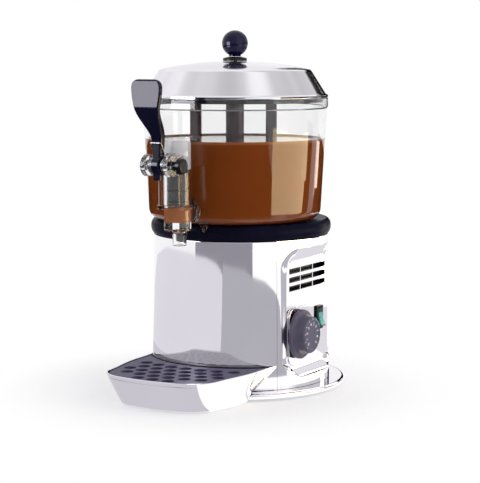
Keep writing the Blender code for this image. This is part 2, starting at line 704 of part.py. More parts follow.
def make_thermostat():
    turn = (0.0, math.pi / 2.0, 0.0)
    plate_face = control_plate_face()
    panel_back = PANEL_PLANE - PANEL_SHEET
    spindle_low = panel_back - GAP - SPINDLE_SEAT
    spindle_high = plate_face + DIAL_STANDOFF + SPINDLE_GRIP
    body = place("thermostat_body", lathe(
        [(0.0, -THERMOSTAT_DEPTH), (THERMOSTAT_RADIUS, -THERMOSTAT_DEPTH), (THERMOSTAT_RADIUS, 0.0),
         (SPINDLE_RADIUS + RUNNING_GAP, 0.0), (SPINDLE_RADIUS + RUNNING_GAP, -SPINDLE_SEAT - GAP),
         (0.0, -SPINDLE_SEAT - GAP)], MEDIUM), (panel_back - GAP, DIAL_Y, DIAL_Z), turn)
    finish(body, "cream")
    spindle = place("thermostat_spindle", lathe(
        [(0.0, 0.0), (SPINDLE_RADIUS, 0.0), (SPINDLE_RADIUS, spindle_high - spindle_low),
         (0.0, spindle_high - spindle_low)], SMALL), (spindle_low, DIAL_Y, DIAL_Z), turn)
    finish(spindle, "brass")
    edge = DIAL_SKIRT_THICKNESS / 3.0
    bore = SPINDLE_RADIUS + GAP
    outline = [(0.0, SPINDLE_GRIP + GAP), (bore, SPINDLE_GRIP + GAP), (bore, 0.0)]
    outline += [(DIAL_SKIRT_RADIUS - edge, 0.0), (DIAL_SKIRT_RADIUS, edge)]
    outline += arc((DIAL_SKIRT_RADIUS - edge, DIAL_SKIRT_THICKNESS - edge), edge, 0.0, math.pi / 2.0, 2)
    outline += [(DIAL_HUB_RADIUS + edge, DIAL_SKIRT_THICKNESS),
                (DIAL_HUB_RADIUS, DIAL_SKIRT_THICKNESS + edge)]
    outline += arc((DIAL_FACE_RADIUS - edge, DIAL_DEPTH - edge), edge, 0.0, math.pi / 2.0, 3)
    outline.append((0.0, DIAL_DEPTH))
    dial = place("thermostat_knob", lathe(outline, 30), (plate_face + DIAL_STANDOFF, DIAL_Y,
                                                         DIAL_Z), turn)
    finish(dial, "grey")


def rocker_pivot():
    return Vector((control_plate_face() + GAP + ROCKER_PIVOT_PROUD, SWITCH_Y, SWITCH_Z))


def make_switch():
    seat = control_plate_face() + GAP
    front = seat + SWITCH_BEZEL
    pivot = rocker_pivot()
    frame = place("switch_frame", prism(rounded(rectangle(
        SWITCH_Y - SWITCH_HALF_WIDTH, SWITCH_Y + SWITCH_HALF_WIDTH,
        SWITCH_Z - SWITCH_HALF_HEIGHT, SWITCH_Z + SWITCH_HALF_HEIGHT), SWITCH_BEZEL / 2.0, 2), seat,
        front, "X"))
    half_width = SWITCH_HALF_WIDTH - SWITCH_BODY_MARGIN
    half_height = SWITCH_HALF_HEIGHT - SWITCH_BODY_MARGIN
    join(frame, block("switch_body", (seat - SWITCH_BODY_DEPTH, SWITCH_Y - half_width,
                                      SWITCH_Z - half_height),
                      (seat + SWITCH_BEZEL / 2.0, SWITCH_Y + half_width, SWITCH_Z + half_height)))
    pocket_width = ROCKER_HALF_WIDTH + ROCKER_SIDE_GAP
    pocket_height = ROCKER_HALF_LENGTH + 2.0 * ROCKER_SIDE_GAP
    cut(frame, block("rocker_pocket", (pivot.x - ROCKER_POCKET, SWITCH_Y - pocket_width,
                                       SWITCH_Z - pocket_height),
                     (front + SWITCH_BEZEL, SWITCH_Y + pocket_width, SWITCH_Z + pocket_height)))
    finish(frame, "grey")
    side = [(ROCKER_FRONT, ROCKER_HALF_LENGTH), (ROCKER_WAIST, 0.0), (ROCKER_FRONT, -ROCKER_HALF_LENGTH),
            (ROCKER_WAIST - ROCKER_BACK, -ROCKER_HALF_LENGTH), (-ROCKER_BACK, -ROCKER_HALF_LENGTH / 3.0),
            (-ROCKER_BACK, ROCKER_HALF_LENGTH / 3.0), (ROCKER_WAIST - ROCKER_BACK, ROCKER_HALF_LENGTH)]
    bm = prism(side, -ROCKER_HALF_WIDTH, ROCKER_HALF_WIDTH, "Y")
    bmesh.ops.rotate(bm, verts=bm.verts, matrix=Matrix.Rotation(-ROCKER_TILT, 3, "Y"))
    finish(place("switch_rocker", bm, pivot), "teal")


# Heater and drive

def make_collar():
    middle = (COLLAR_LOW + DECK_TOP) / 2.0
    bead_root = COLLAR_RADIUS - COLLAR_BULGE
    lip_outer = COLUMN_TOP_RADIUS - SHELL_WALL - GAP
    lip_inner = lip_outer - DECK_LIP_WIDTH
    lip_low = COLLAR_LOW - DECK_LIP_HEIGHT
    outline = [(0.0, DECK_LOW), (lip_inner, DECK_LOW), (lip_inner, lip_low), (lip_outer, lip_low),
               (lip_outer, COLLAR_LOW)]
    outline += oval_arc((bead_root, middle), COLLAR_BULGE, COLLAR_HEIGHT / 2.0, -math.pi / 2.0,
                        math.pi / 2.0, 8)
    outline += [(0.0, DECK_TOP)]
    collar = place("collar", lathe(outline, WIDE))
    ledge = DECK_TOP - PLATE_FLANGE - GAP
    hole = lathe([(0.0, DECK_LOW - GAP), (PLATE_RADIUS - PLATE_LEDGE, DECK_LOW - GAP),
                  (PLATE_RADIUS - PLATE_LEDGE, ledge), (PLATE_RADIUS + GAP, ledge),
                  (PLATE_RADIUS + GAP, DECK_TOP + GAP), (0.0, DECK_TOP + GAP)], WIDE)
    cut(collar, place("plate_hole", hole, (*BOWL_AXIS, 0.0)))
    groove = lathe([(GASKET_INNER - GAP, DECK_TOP - GROOVE_DEPTH),
                    (GASKET_INNER + GASKET_WIDTH + GAP, DECK_TOP - GROOVE_DEPTH),
                    (GASKET_INNER + GASKET_WIDTH + GAP, DECK_TOP + GAP),
                    (GASKET_INNER - GAP, DECK_TOP + GAP)], WIDE)
    cut(collar, place("gasket_groove", groove, (*BOWL_AXIS, 0.0)))
    finish(collar, "navy")
    gasket_low = DECK_TOP - GROOVE_DEPTH + GAP
    gasket = lathe([(GASKET_INNER, gasket_low), (GASKET_INNER + GASKET_WIDTH, gasket_low),
                    (GASKET_INNER + GASKET_WIDTH, gasket_low + GASKET_HEIGHT),
                    (GASKET_INNER, gasket_low + GASKET_HEIGHT)], WIDE)
    finish(place("bowl_gasket", gasket, (*BOWL_AXIS, 0.0)), "rubber")


def make_hot_plate():
    bush_radius = SHAFT_RADIUS + RUNNING_GAP + BUSH_WALL
    seat = DECK_TOP - PLATE_FLANGE
    top = DECK_TOP + PLATE_PROUD
    step = PLATE_RADIUS - PLATE_LEDGE - GAP
    plate = lathe([(bush_radius + GAP, PLATE_LOW), (step, PLATE_LOW), (step, seat), (PLATE_RADIUS, seat),
                   (PLATE_RADIUS, top), (bush_radius + GAP, top)], WIDE)
    finish(place("hot_plate", plate, (*BOWL_AXIS, 0.0)), "aluminium")
    bush = lathe([(SHAFT_RADIUS + RUNNING_GAP, PLATE_LOW), (bush_radius, PLATE_LOW), (bush_radius, top),
                  (SHAFT_RADIUS + RUNNING_GAP, top)], MEDIUM)
    finish(place("shaft_bush", bush, (*BOWL_AXIS, 0.0)), "brass")
    height = PLATE_LOW - GAP - ELEMENT_TUBE
    path = arc(BOWL_AXIS, ELEMENT_RADIUS, math.pi / 2.0 + ELEMENT_OPENING / 2.0,
               math.pi / 2.0 - ELEMENT_OPENING / 2.0 + 2.0 * math.pi, 26)
    points = [(x, y, height) for x, y in path]
    points = [(*points[0][:2], height - ELEMENT_LEG)] + points + [(*points[-1][:2], height - ELEMENT_LEG)]
    finish(tube("heating_element", points, ELEMENT_TUBE, 1), "steel")
    cutout_low = PLATE_LOW - GAP - CUTOUT_HEIGHT
    cutout = lathe([(0.0, 0.0), (CUTOUT_RADIUS * 0.6, 0.0), (CUTOUT_RADIUS * 0.6, CUTOUT_HEIGHT / 2.0),
                    (CUTOUT_RADIUS, CUTOUT_HEIGHT / 2.0), (CUTOUT_RADIUS, CUTOUT_HEIGHT), (0.0,
                                                                                           CUTOUT_HEIGHT)],
                   SMALL)
    finish(place("safety_thermostat", cutout, (BOWL_AXIS[0] - CUTOUT_CIRCLE, BOWL_AXIS[1],
                                               cutout_low)), "cream")


def tube(name, points, radius, resolution):
    """A round wire or pipe along straight runs between points, closed at both ends."""
    curve = bpy.data.curves.new(name, "CURVE")
    curve.dimensions = "3D"
    curve.bevel_depth = radius
    curve.bevel_resolution = resolution
    curve.use_fill_caps = True
    spline = curve.splines.new("POLY")
    spline.points.add(len(points) - 1)
    for target, point in zip(spline.points, points):
        target.co = (*point, 1.0)
    piece = bpy.data.objects.new(name, curve)
    bpy.context.scene.collection.objects.link(piece)
    piece.parent = bpy.data.objects["column_axis"]
    return piece


def make_drive():
    gearbox_low = GEARBOX_TOP - GEARBOX_HEIGHT
    back = BOWL_AXIS[1] + GEARBOX_LENGTH - GEARBOX_WIDTH / 2.0
    front = BOWL_AXIS[1] - GEARBOX_WIDTH / 2.0
    outline = rounded(rectangle(-GEARBOX_WIDTH / 2.0, GEARBOX_WIDTH / 2.0, front, back),
                      GEARBOX_CORNER, 3)
    gearbox = place("gearbox", prism(outline, gearbox_low, GEARBOX_TOP))
    cut(gearbox, rod("shaft_seat", SHAFT_RADIUS + RUNNING_GAP, GEARBOX_TOP - SHAFT_SEAT - GAP,
                     GEARBOX_TOP + GAP, "Z", BOWL_AXIS))
    finish(gearbox, "aluminium")
    motor_y = BOWL_AXIS[1] + MOTOR_SETBACK
    motor_top = gearbox_low - GAP
    edge = MOTOR_RADIUS / 8.0
    motor = lathe([(0.0, motor_top - MOTOR_LENGTH), (MOTOR_RADIUS - edge, motor_top - MOTOR_LENGTH),
                   (MOTOR_RADIUS, motor_top - MOTOR_LENGTH + edge), (MOTOR_RADIUS, motor_top),
                   (0.0, motor_top)], MEDIUM)
    finish(place("motor", motor, (0.0, motor_y, 0.0)), "steel")
    low = BASE_TOP + GAP
    high = gearbox_low - GAP
    span = BRACKET_HALF_SPAN
    sheet = BRACKET_SHEET
    side = [(-span - BRACKET_FOOT, low), (-span, low), (-span, high - sheet), (span, high - sheet),
            (span, low), (span + BRACKET_FOOT, low), (span + BRACKET_FOOT, low + sheet), (span + sheet, low + sheet),
            (span + sheet, high), (-span - sheet, high), (-span - sheet, low + sheet),
            (-span - BRACKET_FOOT, low + sheet)]
    middle = (front + back) / 2.0
    bracket = place("motor_bracket", prism(side, middle - BRACKET_DEPTH / 2.0,
                                           middle + BRACKET_DEPTH / 2.0, "Y"))
    cut(bracket, rod("motor_hole", MOTOR_RADIUS + GAP, high - 2.0 * sheet, high + sheet, "Z",
                     (0.0, motor_y), MEDIUM))
    finish(bracket, "steel")
    foot = GEARBOX_TOP - SHAFT_SEAT
    shaft = place("drive_shaft", lathe([(0.0, foot), (SHAFT_RADIUS, foot), (SHAFT_RADIUS, SQUARE_LOW),
                                        (0.0, SQUARE_LOW)], SMALL), (*BOWL_AXIS, 0.0))
    half = SHAFT_SQUARE / 2.0
    join(shaft, block("square_end", (BOWL_AXIS[0] - half, BOWL_AXIS[1] - half, SQUARE_LOW - SHAFT_SQUARE),
                      (BOWL_AXIS[0] + half, BOWL_AXIS[1] + half, SHAFT_TOP)))
    finish(shaft, "steel")


def make_wiring():
    length, width, height = TERMINAL_SIZE
    bracket_back = BOWL_AXIS[1] + (GEARBOX_LENGTH - GEARBOX_WIDTH + BRACKET_DEPTH) / 2.0
    y = bracket_back + TERMINAL_GAP + width / 2.0
    room = COLUMN_LOW_RADIUS - SHELL_WALL - GAP - BASE_RING_WIDTH
    x = length / 2.0 + TERMINAL_SIDE - math.sqrt(room ** 2 - (y + width / 2.0) ** 2)
    low = BASE_TOP + GAP
    terminals = block("terminal_block", (x - length / 2.0, y - width / 2.0, low),
                      (x + length / 2.0, y + width / 2.0, low + height))
    bay = length / (TERMINAL_BAYS + 1)
    for index in range(TERMINAL_BAYS):
        middle = x + bay * (index - (TERMINAL_BAYS - 1) / 2.0)
        cut(terminals, block("terminal_bay", (middle - bay / 3.0, y - width, low + height / 2.0),
                             (middle + bay / 3.0, y - width / 6.0, low + 2.0 * height)))
    finish(terminals, "cream")
    outside = column_radius(GLAND_Z)
    seat = outside + GAP
    edge = GLAND_PROUD / 4.0
    gland = lathe([(GLAND_BORE, outside - SHELL_WALL - GLAND_INSIDE),
                   (GLAND_BODY, outside - SHELL_WALL - GLAND_INSIDE),
                   (GLAND_BODY, seat), (GLAND_FLANGE, seat), (GLAND_FLANGE, seat + GLAND_PROUD - edge),
                   (GLAND_FLANGE - edge, seat + GLAND_PROUD), (GLAND_BORE, seat + GLAND_PROUD)], SMALL)
    finish(place("cable_gland", gland, (0.0, 0.0, GLAND_Z), (-math.pi / 2.0, 0.0, 0.0)), "black")


# Bowl

def bowl_slope():
    """Growth of the bowl's radius for each metre of height."""
    return (BOWL_RIM_RADIUS - BOWL_FOOT_RADIUS) / (BOWL_HEIGHT - RIM_HEIGHT - BOWL_CORNER)


def make_bowl():
    wall_low = BOWL_LOW + BOWL_CORNER
    rim_low = BOWL_TOP - RIM_HEIGHT
    rim_outer = BOWL_RIM_RADIUS + RIM_PROUD
    inner_corner = BOWL_CORNER - BOWL_WALL
    inner_centre = BOWL_FLOOR_TOP + inner_corner
    inner_foot = BOWL_FOOT_RADIUS - BOWL_WALL
    inner_rim = BOWL_RIM_RADIUS - BOWL_WALL
    edge = RIM_PROUD
    outline = [(UPSTAND_BORE, BOWL_LOW)]
    outline += arc((BOWL_FOOT_RADIUS - BOWL_CORNER, wall_low), BOWL_CORNER, -math.pi / 2.0, 0.0, 5)
    outline += [(BOWL_RIM_RADIUS, rim_low), (rim_outer, rim_low + edge), (rim_outer, BOWL_TOP - edge),
                (rim_outer - edge, BOWL_TOP), (inner_rim, BOWL_TOP), (inner_rim, rim_low)]
    outline += arc((inner_foot - inner_corner, inner_centre), inner_corner, 0.0, -math.pi / 2.0, 4)
    outline += [(UPSTAND_RADIUS, BOWL_FLOOR_TOP), (UPSTAND_RADIUS, UPSTAND_TOP),
                (UPSTAND_BORE, UPSTAND_TOP)]
    bowl = place("bowl", lathe(outline, WIDE), (*BOWL_AXIS, 0.0))
    wall = BOWL_FOOT_RADIUS + bowl_slope() * max(OUTLET_Z - wall_low, 0.0)
    join(bowl, rod("outlet_boss", BOSS_RADIUS, BOWL_AXIS[1] - BOSS_REACH,
                   BOWL_AXIS[1] - wall + BOWL_WALL * 0.7, "Y",
                   (0.0, OUTLET_Z), MEDIUM))
    catch_back = -COLLAR_RADIUS - GAP
    for side in (-1.0, 1.0):
        middle = side * CATCH_SPREAD
        catch = [(middle - CATCH_HALF_WIDTH, BOWL_LOW + CATCH_TOP), (middle, BOWL_LOW - CATCH_TIP),
                 (middle + CATCH_HALF_WIDTH, BOWL_LOW + CATCH_TOP)]
        join(bowl, place("catch", prism(catch, catch_back - CATCH_THICKNESS, catch_back, "Y")))
    cut(bowl, rod("spigot_hole", SPIGOT_RADIUS + GAP, BOWL_AXIS[1] - 1.1 * BOSS_REACH,
                  BOWL_AXIS[1] - BOWL_FOOT_RADIUS / 2.0, "Y", (0.0, OUTLET_Z), MEDIUM))
    finish(bowl, "clear")


def make_mixer():
    floor = BOWL_FLOOR_TOP + MIXER_FLOOR_GAP
    bore = UPSTAND_RADIUS + SLEEVE_GAP
    outer = bore + SLEEVE_WALL
    under = UPSTAND_TOP + GAP
    top = under + MIXER_CAP
    outline = [(0.0, under), (bore, under), (bore, floor), (outer, floor), (outer, top - SLEEVE_WALL),
               (outer - SLEEVE_WALL, top), (0.0, top)]
    mixer = place("mixer", lathe(outline, MEDIUM), (*BOWL_AXIS, 0.0), (0.0, 0.0, MIXER_ANGLE))
    for side in (-1.0, 1.0):
        start = side * (bore + SLEEVE_WALL / 2.0)
        end = side * ARM_BAR_LENGTH
        bar = prism(rectangle(min(start, end), max(start, end), -ARM_BAR_WIDTH / 2.0,
                              ARM_BAR_WIDTH / 2.0),
                    floor + GAP, floor + ARM_BAR_HEIGHT)
        join(mixer, place("mixer_arm", bar, (*BOWL_AXIS, 0.0), (0.0, 0.0, MIXER_ANGLE)))
        centre = side * UPRIGHT_CIRCLE
        upright = prism(rounded(rectangle(centre - UPRIGHT_THICKNESS / 2.0,
                                          centre + UPRIGHT_THICKNESS / 2.0,
                                          -UPRIGHT_WIDTH / 2.0, UPRIGHT_WIDTH / 2.0),
                                          UPRIGHT_THICKNESS / 3.0, 2),
                        floor + ARM_BAR_HEIGHT / 2.0, BOWL_FLOOR_TOP + UPRIGHT_TOP)
        join(mixer, place("mixer_upright", upright, (*BOWL_AXIS, 0.0), (0.0, 0.0, MIXER_ANGLE)))
    half = SHAFT_SQUARE / 2.0 + GAP
    socket = prism(rectangle(-half, half, -half, half), under - GAP, SHAFT_TOP + GAP)
    cut(mixer, place("socket", socket, (*BOWL_AXIS, 0.0)))
    finish(mixer, "grey")


def make_drink():
    """The filling, which turns with the mixer: it clears the arms, the sleeve and the two uprights."""
    level = BOWL_TOP - DRINK_DROP
    inner = UPSTAND_RADIUS + SLEEVE_GAP + SLEEVE_WALL + DRINK_SLOT_GAP
    over_arms = BOWL_FLOOR_TOP + MIXER_FLOOR_GAP + ARM_BAR_HEIGHT + DRINK_GAP
    past_arms = ARM_BAR_LENGTH + 2.0 * DRINK_GAP
    wall_low = BOWL_LOW + BOWL_CORNER
    foot = BOWL_FOOT_RADIUS - BOWL_WALL - DRINK_GAP
    corner = BOWL_CORNER - BOWL_WALL
    low = BOWL_FLOOR_TOP + DRINK_GAP
    outline = [(inner, over_arms), (past_arms, over_arms), (past_arms, low), (foot - corner, low),
               (foot - corner / 4.0, low + corner / 4.0), (foot, wall_low),
               (foot + bowl_slope() * (level - wall_low), level), (inner, level)]
    drink = place("hot_chocolate", lathe(outline, MEDIUM), (*BOWL_AXIS, 0.0))
    for side in (-1.0, 1.0):
        centre = side * UPRIGHT_CIRCLE
        half = UPRIGHT_THICKNESS / 2.0 + DRINK_SLOT_GAP
        width = UPRIGHT_WIDTH / 2.0 + DRINK_SLOT_GAP
        slot = prism(rectangle(centre - half, centre + half, -width, width), BOWL_LOW, BOWL_TOP)
        cut(drink, place("upright_slot", slot, (*BOWL_AXIS, 0.0), (0.0, 0.0, MIXER_ANGLE)))
    finish(drink, "chocolate")


# Tap

def make_tap_body():
    floor = (TUBE_RADIUS - TUBE_BORE) / 2.0
    base = TUBE_FLOOR - TUBE_PLINTH
    outline = [(0.0, base), (TUBE_RADIUS, base), (TUBE_RADIUS, TUBE_TOP), (0.0, TUBE_TOP)]
    body = place("tap_body", lathe(outline, MEDIUM), (*TAP_AXIS, 0.0))
    spout_axis = (TAP_AXIS[0], TAP_AXIS[1] + SPOUT_SETBACK)
    join(body, place("spout", loft([ring(spout_axis, SPOUT_TIP_RADIUS, SPOUT_TIP),
                                    ring(spout_axis, SPOUT_RADIUS, SPOUT_SHOULDER),
                                    ring(TAP_AXIS, 0.97 * TUBE_RADIUS, base + 0.4 * floor)])))
    flange_face = BOWL_AXIS[1] - BOSS_REACH - TAP_GASKET - 2.0 * GAP
    spigot_end = BOWL_AXIS[1] - BOWL_FOOT_RADIUS + BOWL_WALL
    join(body, rod("duct", SPIGOT_RADIUS, TAP_AXIS[1] + (TUBE_RADIUS + TUBE_BORE) / 2.0, spigot_end, "Y",
                   (0.0, OUTLET_Z), MEDIUM))
    join(body, rod("duct_flange", BOSS_RADIUS, flange_face - TAP_FLANGE, flange_face, "Y",
                   (0.0, OUTLET_Z), MEDIUM))
    shelf_back = flange_face - TAP_FLANGE / 2.0
    shelf = rounded(rectangle(-SHELF_HALF_WIDTH, SHELF_HALF_WIDTH, TAP_AXIS[1] - SHELF_FRONT, shelf_back),
                    SHELF_THICKNESS / 3.0, 2)
    join(body, place("shelf", prism(shelf, SHELF_LOW, SHELF_LOW + SHELF_THICKNESS)))
    for side in (-1.0, 1.0):
        web = rectangle(TAP_AXIS[1] - SHELF_FRONT + WEB_THICKNESS / 2.0, TAP_AXIS[1] - TUBE_RADIUS / 2.0,
                        SHELF_LOW + SHELF_THICKNESS / 2.0, PIVOT_Z)
        near = side * (EAR_INNER + WEB_THICKNESS / 4.0)
        far = side * (EAR_INNER + WEB_THICKNESS)
        join(body, place("web", prism(web, min(near, far), max(near, far), "X")))
        root = TAP_AXIS[1] - 0.17 * TUBE_RADIUS
        ear = [(root, PIVOT_Z + EAR_ROOT)]
        ear += arc((PIVOT.y, PIVOT_Z), EAR_RADIUS, math.radians(80), math.radians(280), 14)
        ear += [(root, PIVOT_Z - EAR_ROOT)]
        inner = side * EAR_INNER
        outer = side * (EAR_INNER + EAR_THICKNESS)
        join(body, place("ear", prism(ear, min(inner, outer), max(inner, outer), "X")))
    cut(body, rod("pin_holes", PIN_RADIUS + RUNNING_GAP, -2.0 * EAR_INNER, 2.0 * EAR_INNER, "X",
                  (PIVOT.y, PIVOT_Z)))
    cut(body, rod("bore", TUBE_BORE, TUBE_FLOOR, TUBE_TOP + SPOUT_BORE, "Z", TAP_AXIS, MEDIUM))
    cut(body, rod("spout_bore", SPOUT_BORE, SPOUT_TIP - SPOUT_BORE, TUBE_FLOOR + SPOUT_BORE, "Z",
                  spout_axis))
    cut(body, rod("duct_bore", OUTLET_BORE, TAP_AXIS[1], BOWL_AXIS[1] - BOWL_FOOT_RADIUS / 2.0, "Y",
                  (0.0, OUTLET_Z), MEDIUM))
    cut(body, block("window", (-WINDOW_HALF, TAP_AXIS[1] - 1.5 * TUBE_RADIUS, WINDOW_LOW),
                    (WINDOW_HALF, TAP_AXIS[1] - TUBE_BORE / 3.0, WINDOW_HIGH)))
    finish(body, "clear")
    gasket = lathe([(SPIGOT_RADIUS + GAP, 0.0), (BOSS_RADIUS, 0.0), (BOSS_RADIUS, TAP_GASKET),
                    (SPIGOT_RADIUS + GAP, TAP_GASKET)], MEDIUM)
    finish(place("tap_gasket", gasket, (0.0, flange_face + GAP, OUTLET_Z),
                 (-math.pi / 2.0, 0.0, 0.0)), "rubber")


def make_pin():
    turn = (0.0, math.pi / 2.0, 0.0)
    outside = EAR_INNER + EAR_THICKNESS
    neck = outside + GAP
    head = neck + PIN_NECK_LENGTH
    tail = -outside - GAP - CLIP_THICKNESS - GAP - PIN_TAIL
    groove_high = -outside - GAP / 2.0
    groove_low = groove_high - CLIP_THICKNESS - GAP
    groove = PIN_RADIUS - CLIP_GROOVE
    dome = PIN_HEAD_LENGTH / 3.0
    outline = [(0.0, tail), (PIN_RADIUS - CLIP_GROOVE, tail), (PIN_RADIUS, tail + CLIP_GROOVE),
               (PIN_RADIUS, groove_low), (groove, groove_low), (groove, groove_high), (PIN_RADIUS,
                                                                                       groove_high),
               (PIN_RADIUS, neck), (PIN_NECK_RADIUS, neck), (PIN_NECK_RADIUS,
                                                             head), (PIN_HEAD_RADIUS, head)]
    outline += oval_arc((PIN_HEAD_RADIUS - dome, head + PIN_HEAD_LENGTH - dome), dome, dome, 0.0,
                        math.pi / 2.0, 3)
    outline += [(0.0, head + PIN_HEAD_LENGTH)]
    finish(place("pivot_pin", lathe(outline, SMALL), PIVOT, turn), "black")
    clip_outline = [(groove + GAP / 2.0, 0.0), (groove + CLIP_WIDTH, 0.0),
                    (groove + CLIP_WIDTH, CLIP_THICKNESS),
                    (groove + GAP / 2.0, CLIP_THICKNESS)]
    clip = lathe(clip_outline, SMALL, CLIP_OPENING / 2.0, 2.0 * math.pi - CLIP_OPENING)
    clip_low = groove_low + GAP / 2.0
    finish(place("pin_clip", clip, PIVOT + Vector((clip_low, 0.0, 0.0)), turn), "steel")


def lever_centre(rise):
    """How far in front of the pivot the lever's middle lies, at a height over the pivot."""
    bend = smooth_step((rise - LEVER_BEND_LOW) / (LEVER_BEND_HIGH - LEVER_BEND_LOW))
    return -LEVER_FORWARD - LEVER_LEAN * bend


def lever_half_width(rise):
    neck = HUB_HALF_WIDTH + (LEVER_NECK_HALF - HUB_HALF_WIDTH) * min(max(rise / LEVER_BEND_LOW, 0.0), 1.0)
    spread = smooth_step((rise - LEVER_BEND_LOW) / (LEVER_RISE - PADDLE_CORNER - LEVER_BEND_LOW))
    width = neck + (PADDLE_HALF - LEVER_NECK_HALF) * spread
    over = max(rise - (LEVER_RISE - PADDLE_CORNER), 0.0) / PADDLE_CORNER
    return width - PADDLE_CORNER * (1.0 - math.sqrt(max(1.0 - over * over, 0.0)))


def lever_half_thickness(rise):
    step = LEVER_RISE / 200.0
    slope = (lever_centre(rise + step) - lever_centre(rise - step)) / (2.0 * step)
    thin = smooth_step((rise - LEVER_BEND_LOW) / (LEVER_BEND_HIGH - LEVER_BEND_LOW))
    return (STEM_THICK + (PADDLE_THICK - STEM_THICK) * thin) * math.sqrt(1.0 + slope * slope)


def lever_ring(rise):
    y = lever_centre(rise)
    w = lever_half_width(rise)
    t = lever_half_thickness(rise)
    e = min(LEVER_EDGE, w / 2.0, t / 2.0)
    outline = [(w, t - e), (w - e, t), (e - w, t), (-w, t - e), (-w, e - t), (e - w, -t),
               (w - e, -t), (w, e - t)]
    return [(a, y + b, rise) for a, b in outline]


def make_lever():
    lower = [-LEVER_HEEL, 0.0, LEVER_BEND_LOW]
    count = LEVER_STATIONS - len(lower)
    upper = []
    for index in range(1, count + 1):
        upper.append(LEVER_BEND_LOW + (LEVER_RISE - LEVER_BEND_LOW) * math.sin(math.pi / 2.0 * index / count))
    lever = place("tap_lever", loft([lever_ring(rise) for rise in lower + upper]), PIVOT)
    join(lever, rod("hub", HUB_RADIUS, -HUB_HALF_WIDTH, HUB_HALF_WIDTH, "X", (PIVOT.y, PIVOT_Z), MEDIUM))
    boss_end = EAR_INNER - GAP
    join(lever, rod("side_bosses", BOSS_SIDE_RADIUS, -boss_end, boss_end, "X", (PIVOT.y, PIVOT_Z)))
    thin = 0.7 * ARM_LENGTH
    arm = [(0.0, -ARM_ROOT), (thin, -ARM_END), (ARM_LENGTH, -ARM_END), (ARM_LENGTH, ARM_END),
           (thin, ARM_END),
           (0.0, ARM_ROOT)]
    arm_bm = prism(arm, -ARM_HALF_WIDTH, ARM_HALF_WIDTH, "X")
    arm_turn = (-ARM_HALF_SWING, 0.0, 0.0)
    join(lever, place("arm", arm_bm, PIVOT, arm_turn))
    tip = (PIVOT.y + ARM_LENGTH * math.cos(ARM_HALF_SWING), ARM_TIP_Z)
    join(lever, rod("arm_tip", ARM_TIP, -ARM_HALF_WIDTH, ARM_HALF_WIDTH, "X", tip))
    cut(lever, rod("pin_hole", PIN_RADIUS + RUNNING_GAP, -2.0 * EAR_INNER, 2.0 * EAR_INNER, "X",
                   (PIVOT.y, PIVOT_Z)))
    finish(lever, "navy")


def spring_side():
    """One half of the spring, from the middle of its bail to the end of its fixed leg, round the pivot."""
    front = lever_centre(BAIL_HEIGHT) - lever_half_thickness(BAIL_HEIGHT) - GAP - WIRE / 2.0
    bail_half = lever_half_width(BAIL_HEIGHT) + GAP + WIRE / 2.0
    reach = math.hypot(front, BAIL_HEIGHT)
    start = math.atan2(BAIL_HEIGHT, front) - math.acos(COIL_RADIUS / reach)
    turn = start - math.pi / 2.0 + 2.0 * math.pi * (COIL_TURNS + 1)
    coil_start = HUB_HALF_WIDTH + GAP + WIRE / 2.0
    steps = round(COIL_POINTS * turn / (2.0 * math.pi))
    bend = 1.6 * WIRE
    leg = Vector((coil_start - bail_half, COIL_RADIUS * math.cos(start) - front,
                  COIL_RADIUS * math.sin(start) - BAIL_HEIGHT)).normalized()
    corner = Vector((bail_half, front, BAIL_HEIGHT))
    points = [Vector((0.0, front, BAIL_HEIGHT)), corner - Vector((bend, 0.0, 0.0)),
              corner + (leg * bend - Vector((bend, 0.0, 0.0))) * 0.3, corner + leg * bend]
    for index in range(steps + 1):
        share = index / steps
        angle = start - turn * share
        x = coil_start + COIL_PITCH * turn / (2.0 * math.pi) * share
        points.append(Vector((x, COIL_RADIUS * math.cos(angle), COIL_RADIUS * math.sin(angle))))
    last = points[-1]
    tube_front = PIVOT_REACH - math.sqrt(max(TUBE_RADIUS ** 2 - last.x ** 2, 0.0))
    end = tube_front - FIXED_LEG_GAP
    points += [Vector((last.x, end / 2.0, last.z)), Vector((last.x, end, last.z))]
    return points


def least_self_gap(points, diameter):
    """Least clear distance between stretches of a wire that don't follow each other."""
    fine = []
    for first, second in zip(points, points[1:]):
        count = max(1, math.ceil((second - first).length / (diameter / 4.0)))
        fine += [first.lerp(second, index / count) for index in range(count)]
    fine.append(points[-1])
    along = [0.0]
    for first, second in zip(fine, fine[1:]):
        along.append(along[-1] + (second - first).length)
    least = math.inf
    for index, point in enumerate(fine):
        for other in range(index + 1, len(fine)):
            if along[other] - along[index] > 4.0 * diameter:
                least = min(least, (fine[other] - point).length - diameter)
    return least


def make_spring():
    right = spring_side()
    left = [Vector((-point.x, point.y, point.z)) for point in right[1:]]
    points = list(reversed(left)) + right
    print("lever spring least self gap mm", round(1000.0 * least_self_gap(points, WIRE), 3))
    spring = tube("lever_spring", points, WIRE / 2.0, 1)
    spring.location = PIVOT
    finish(spring, "steel")


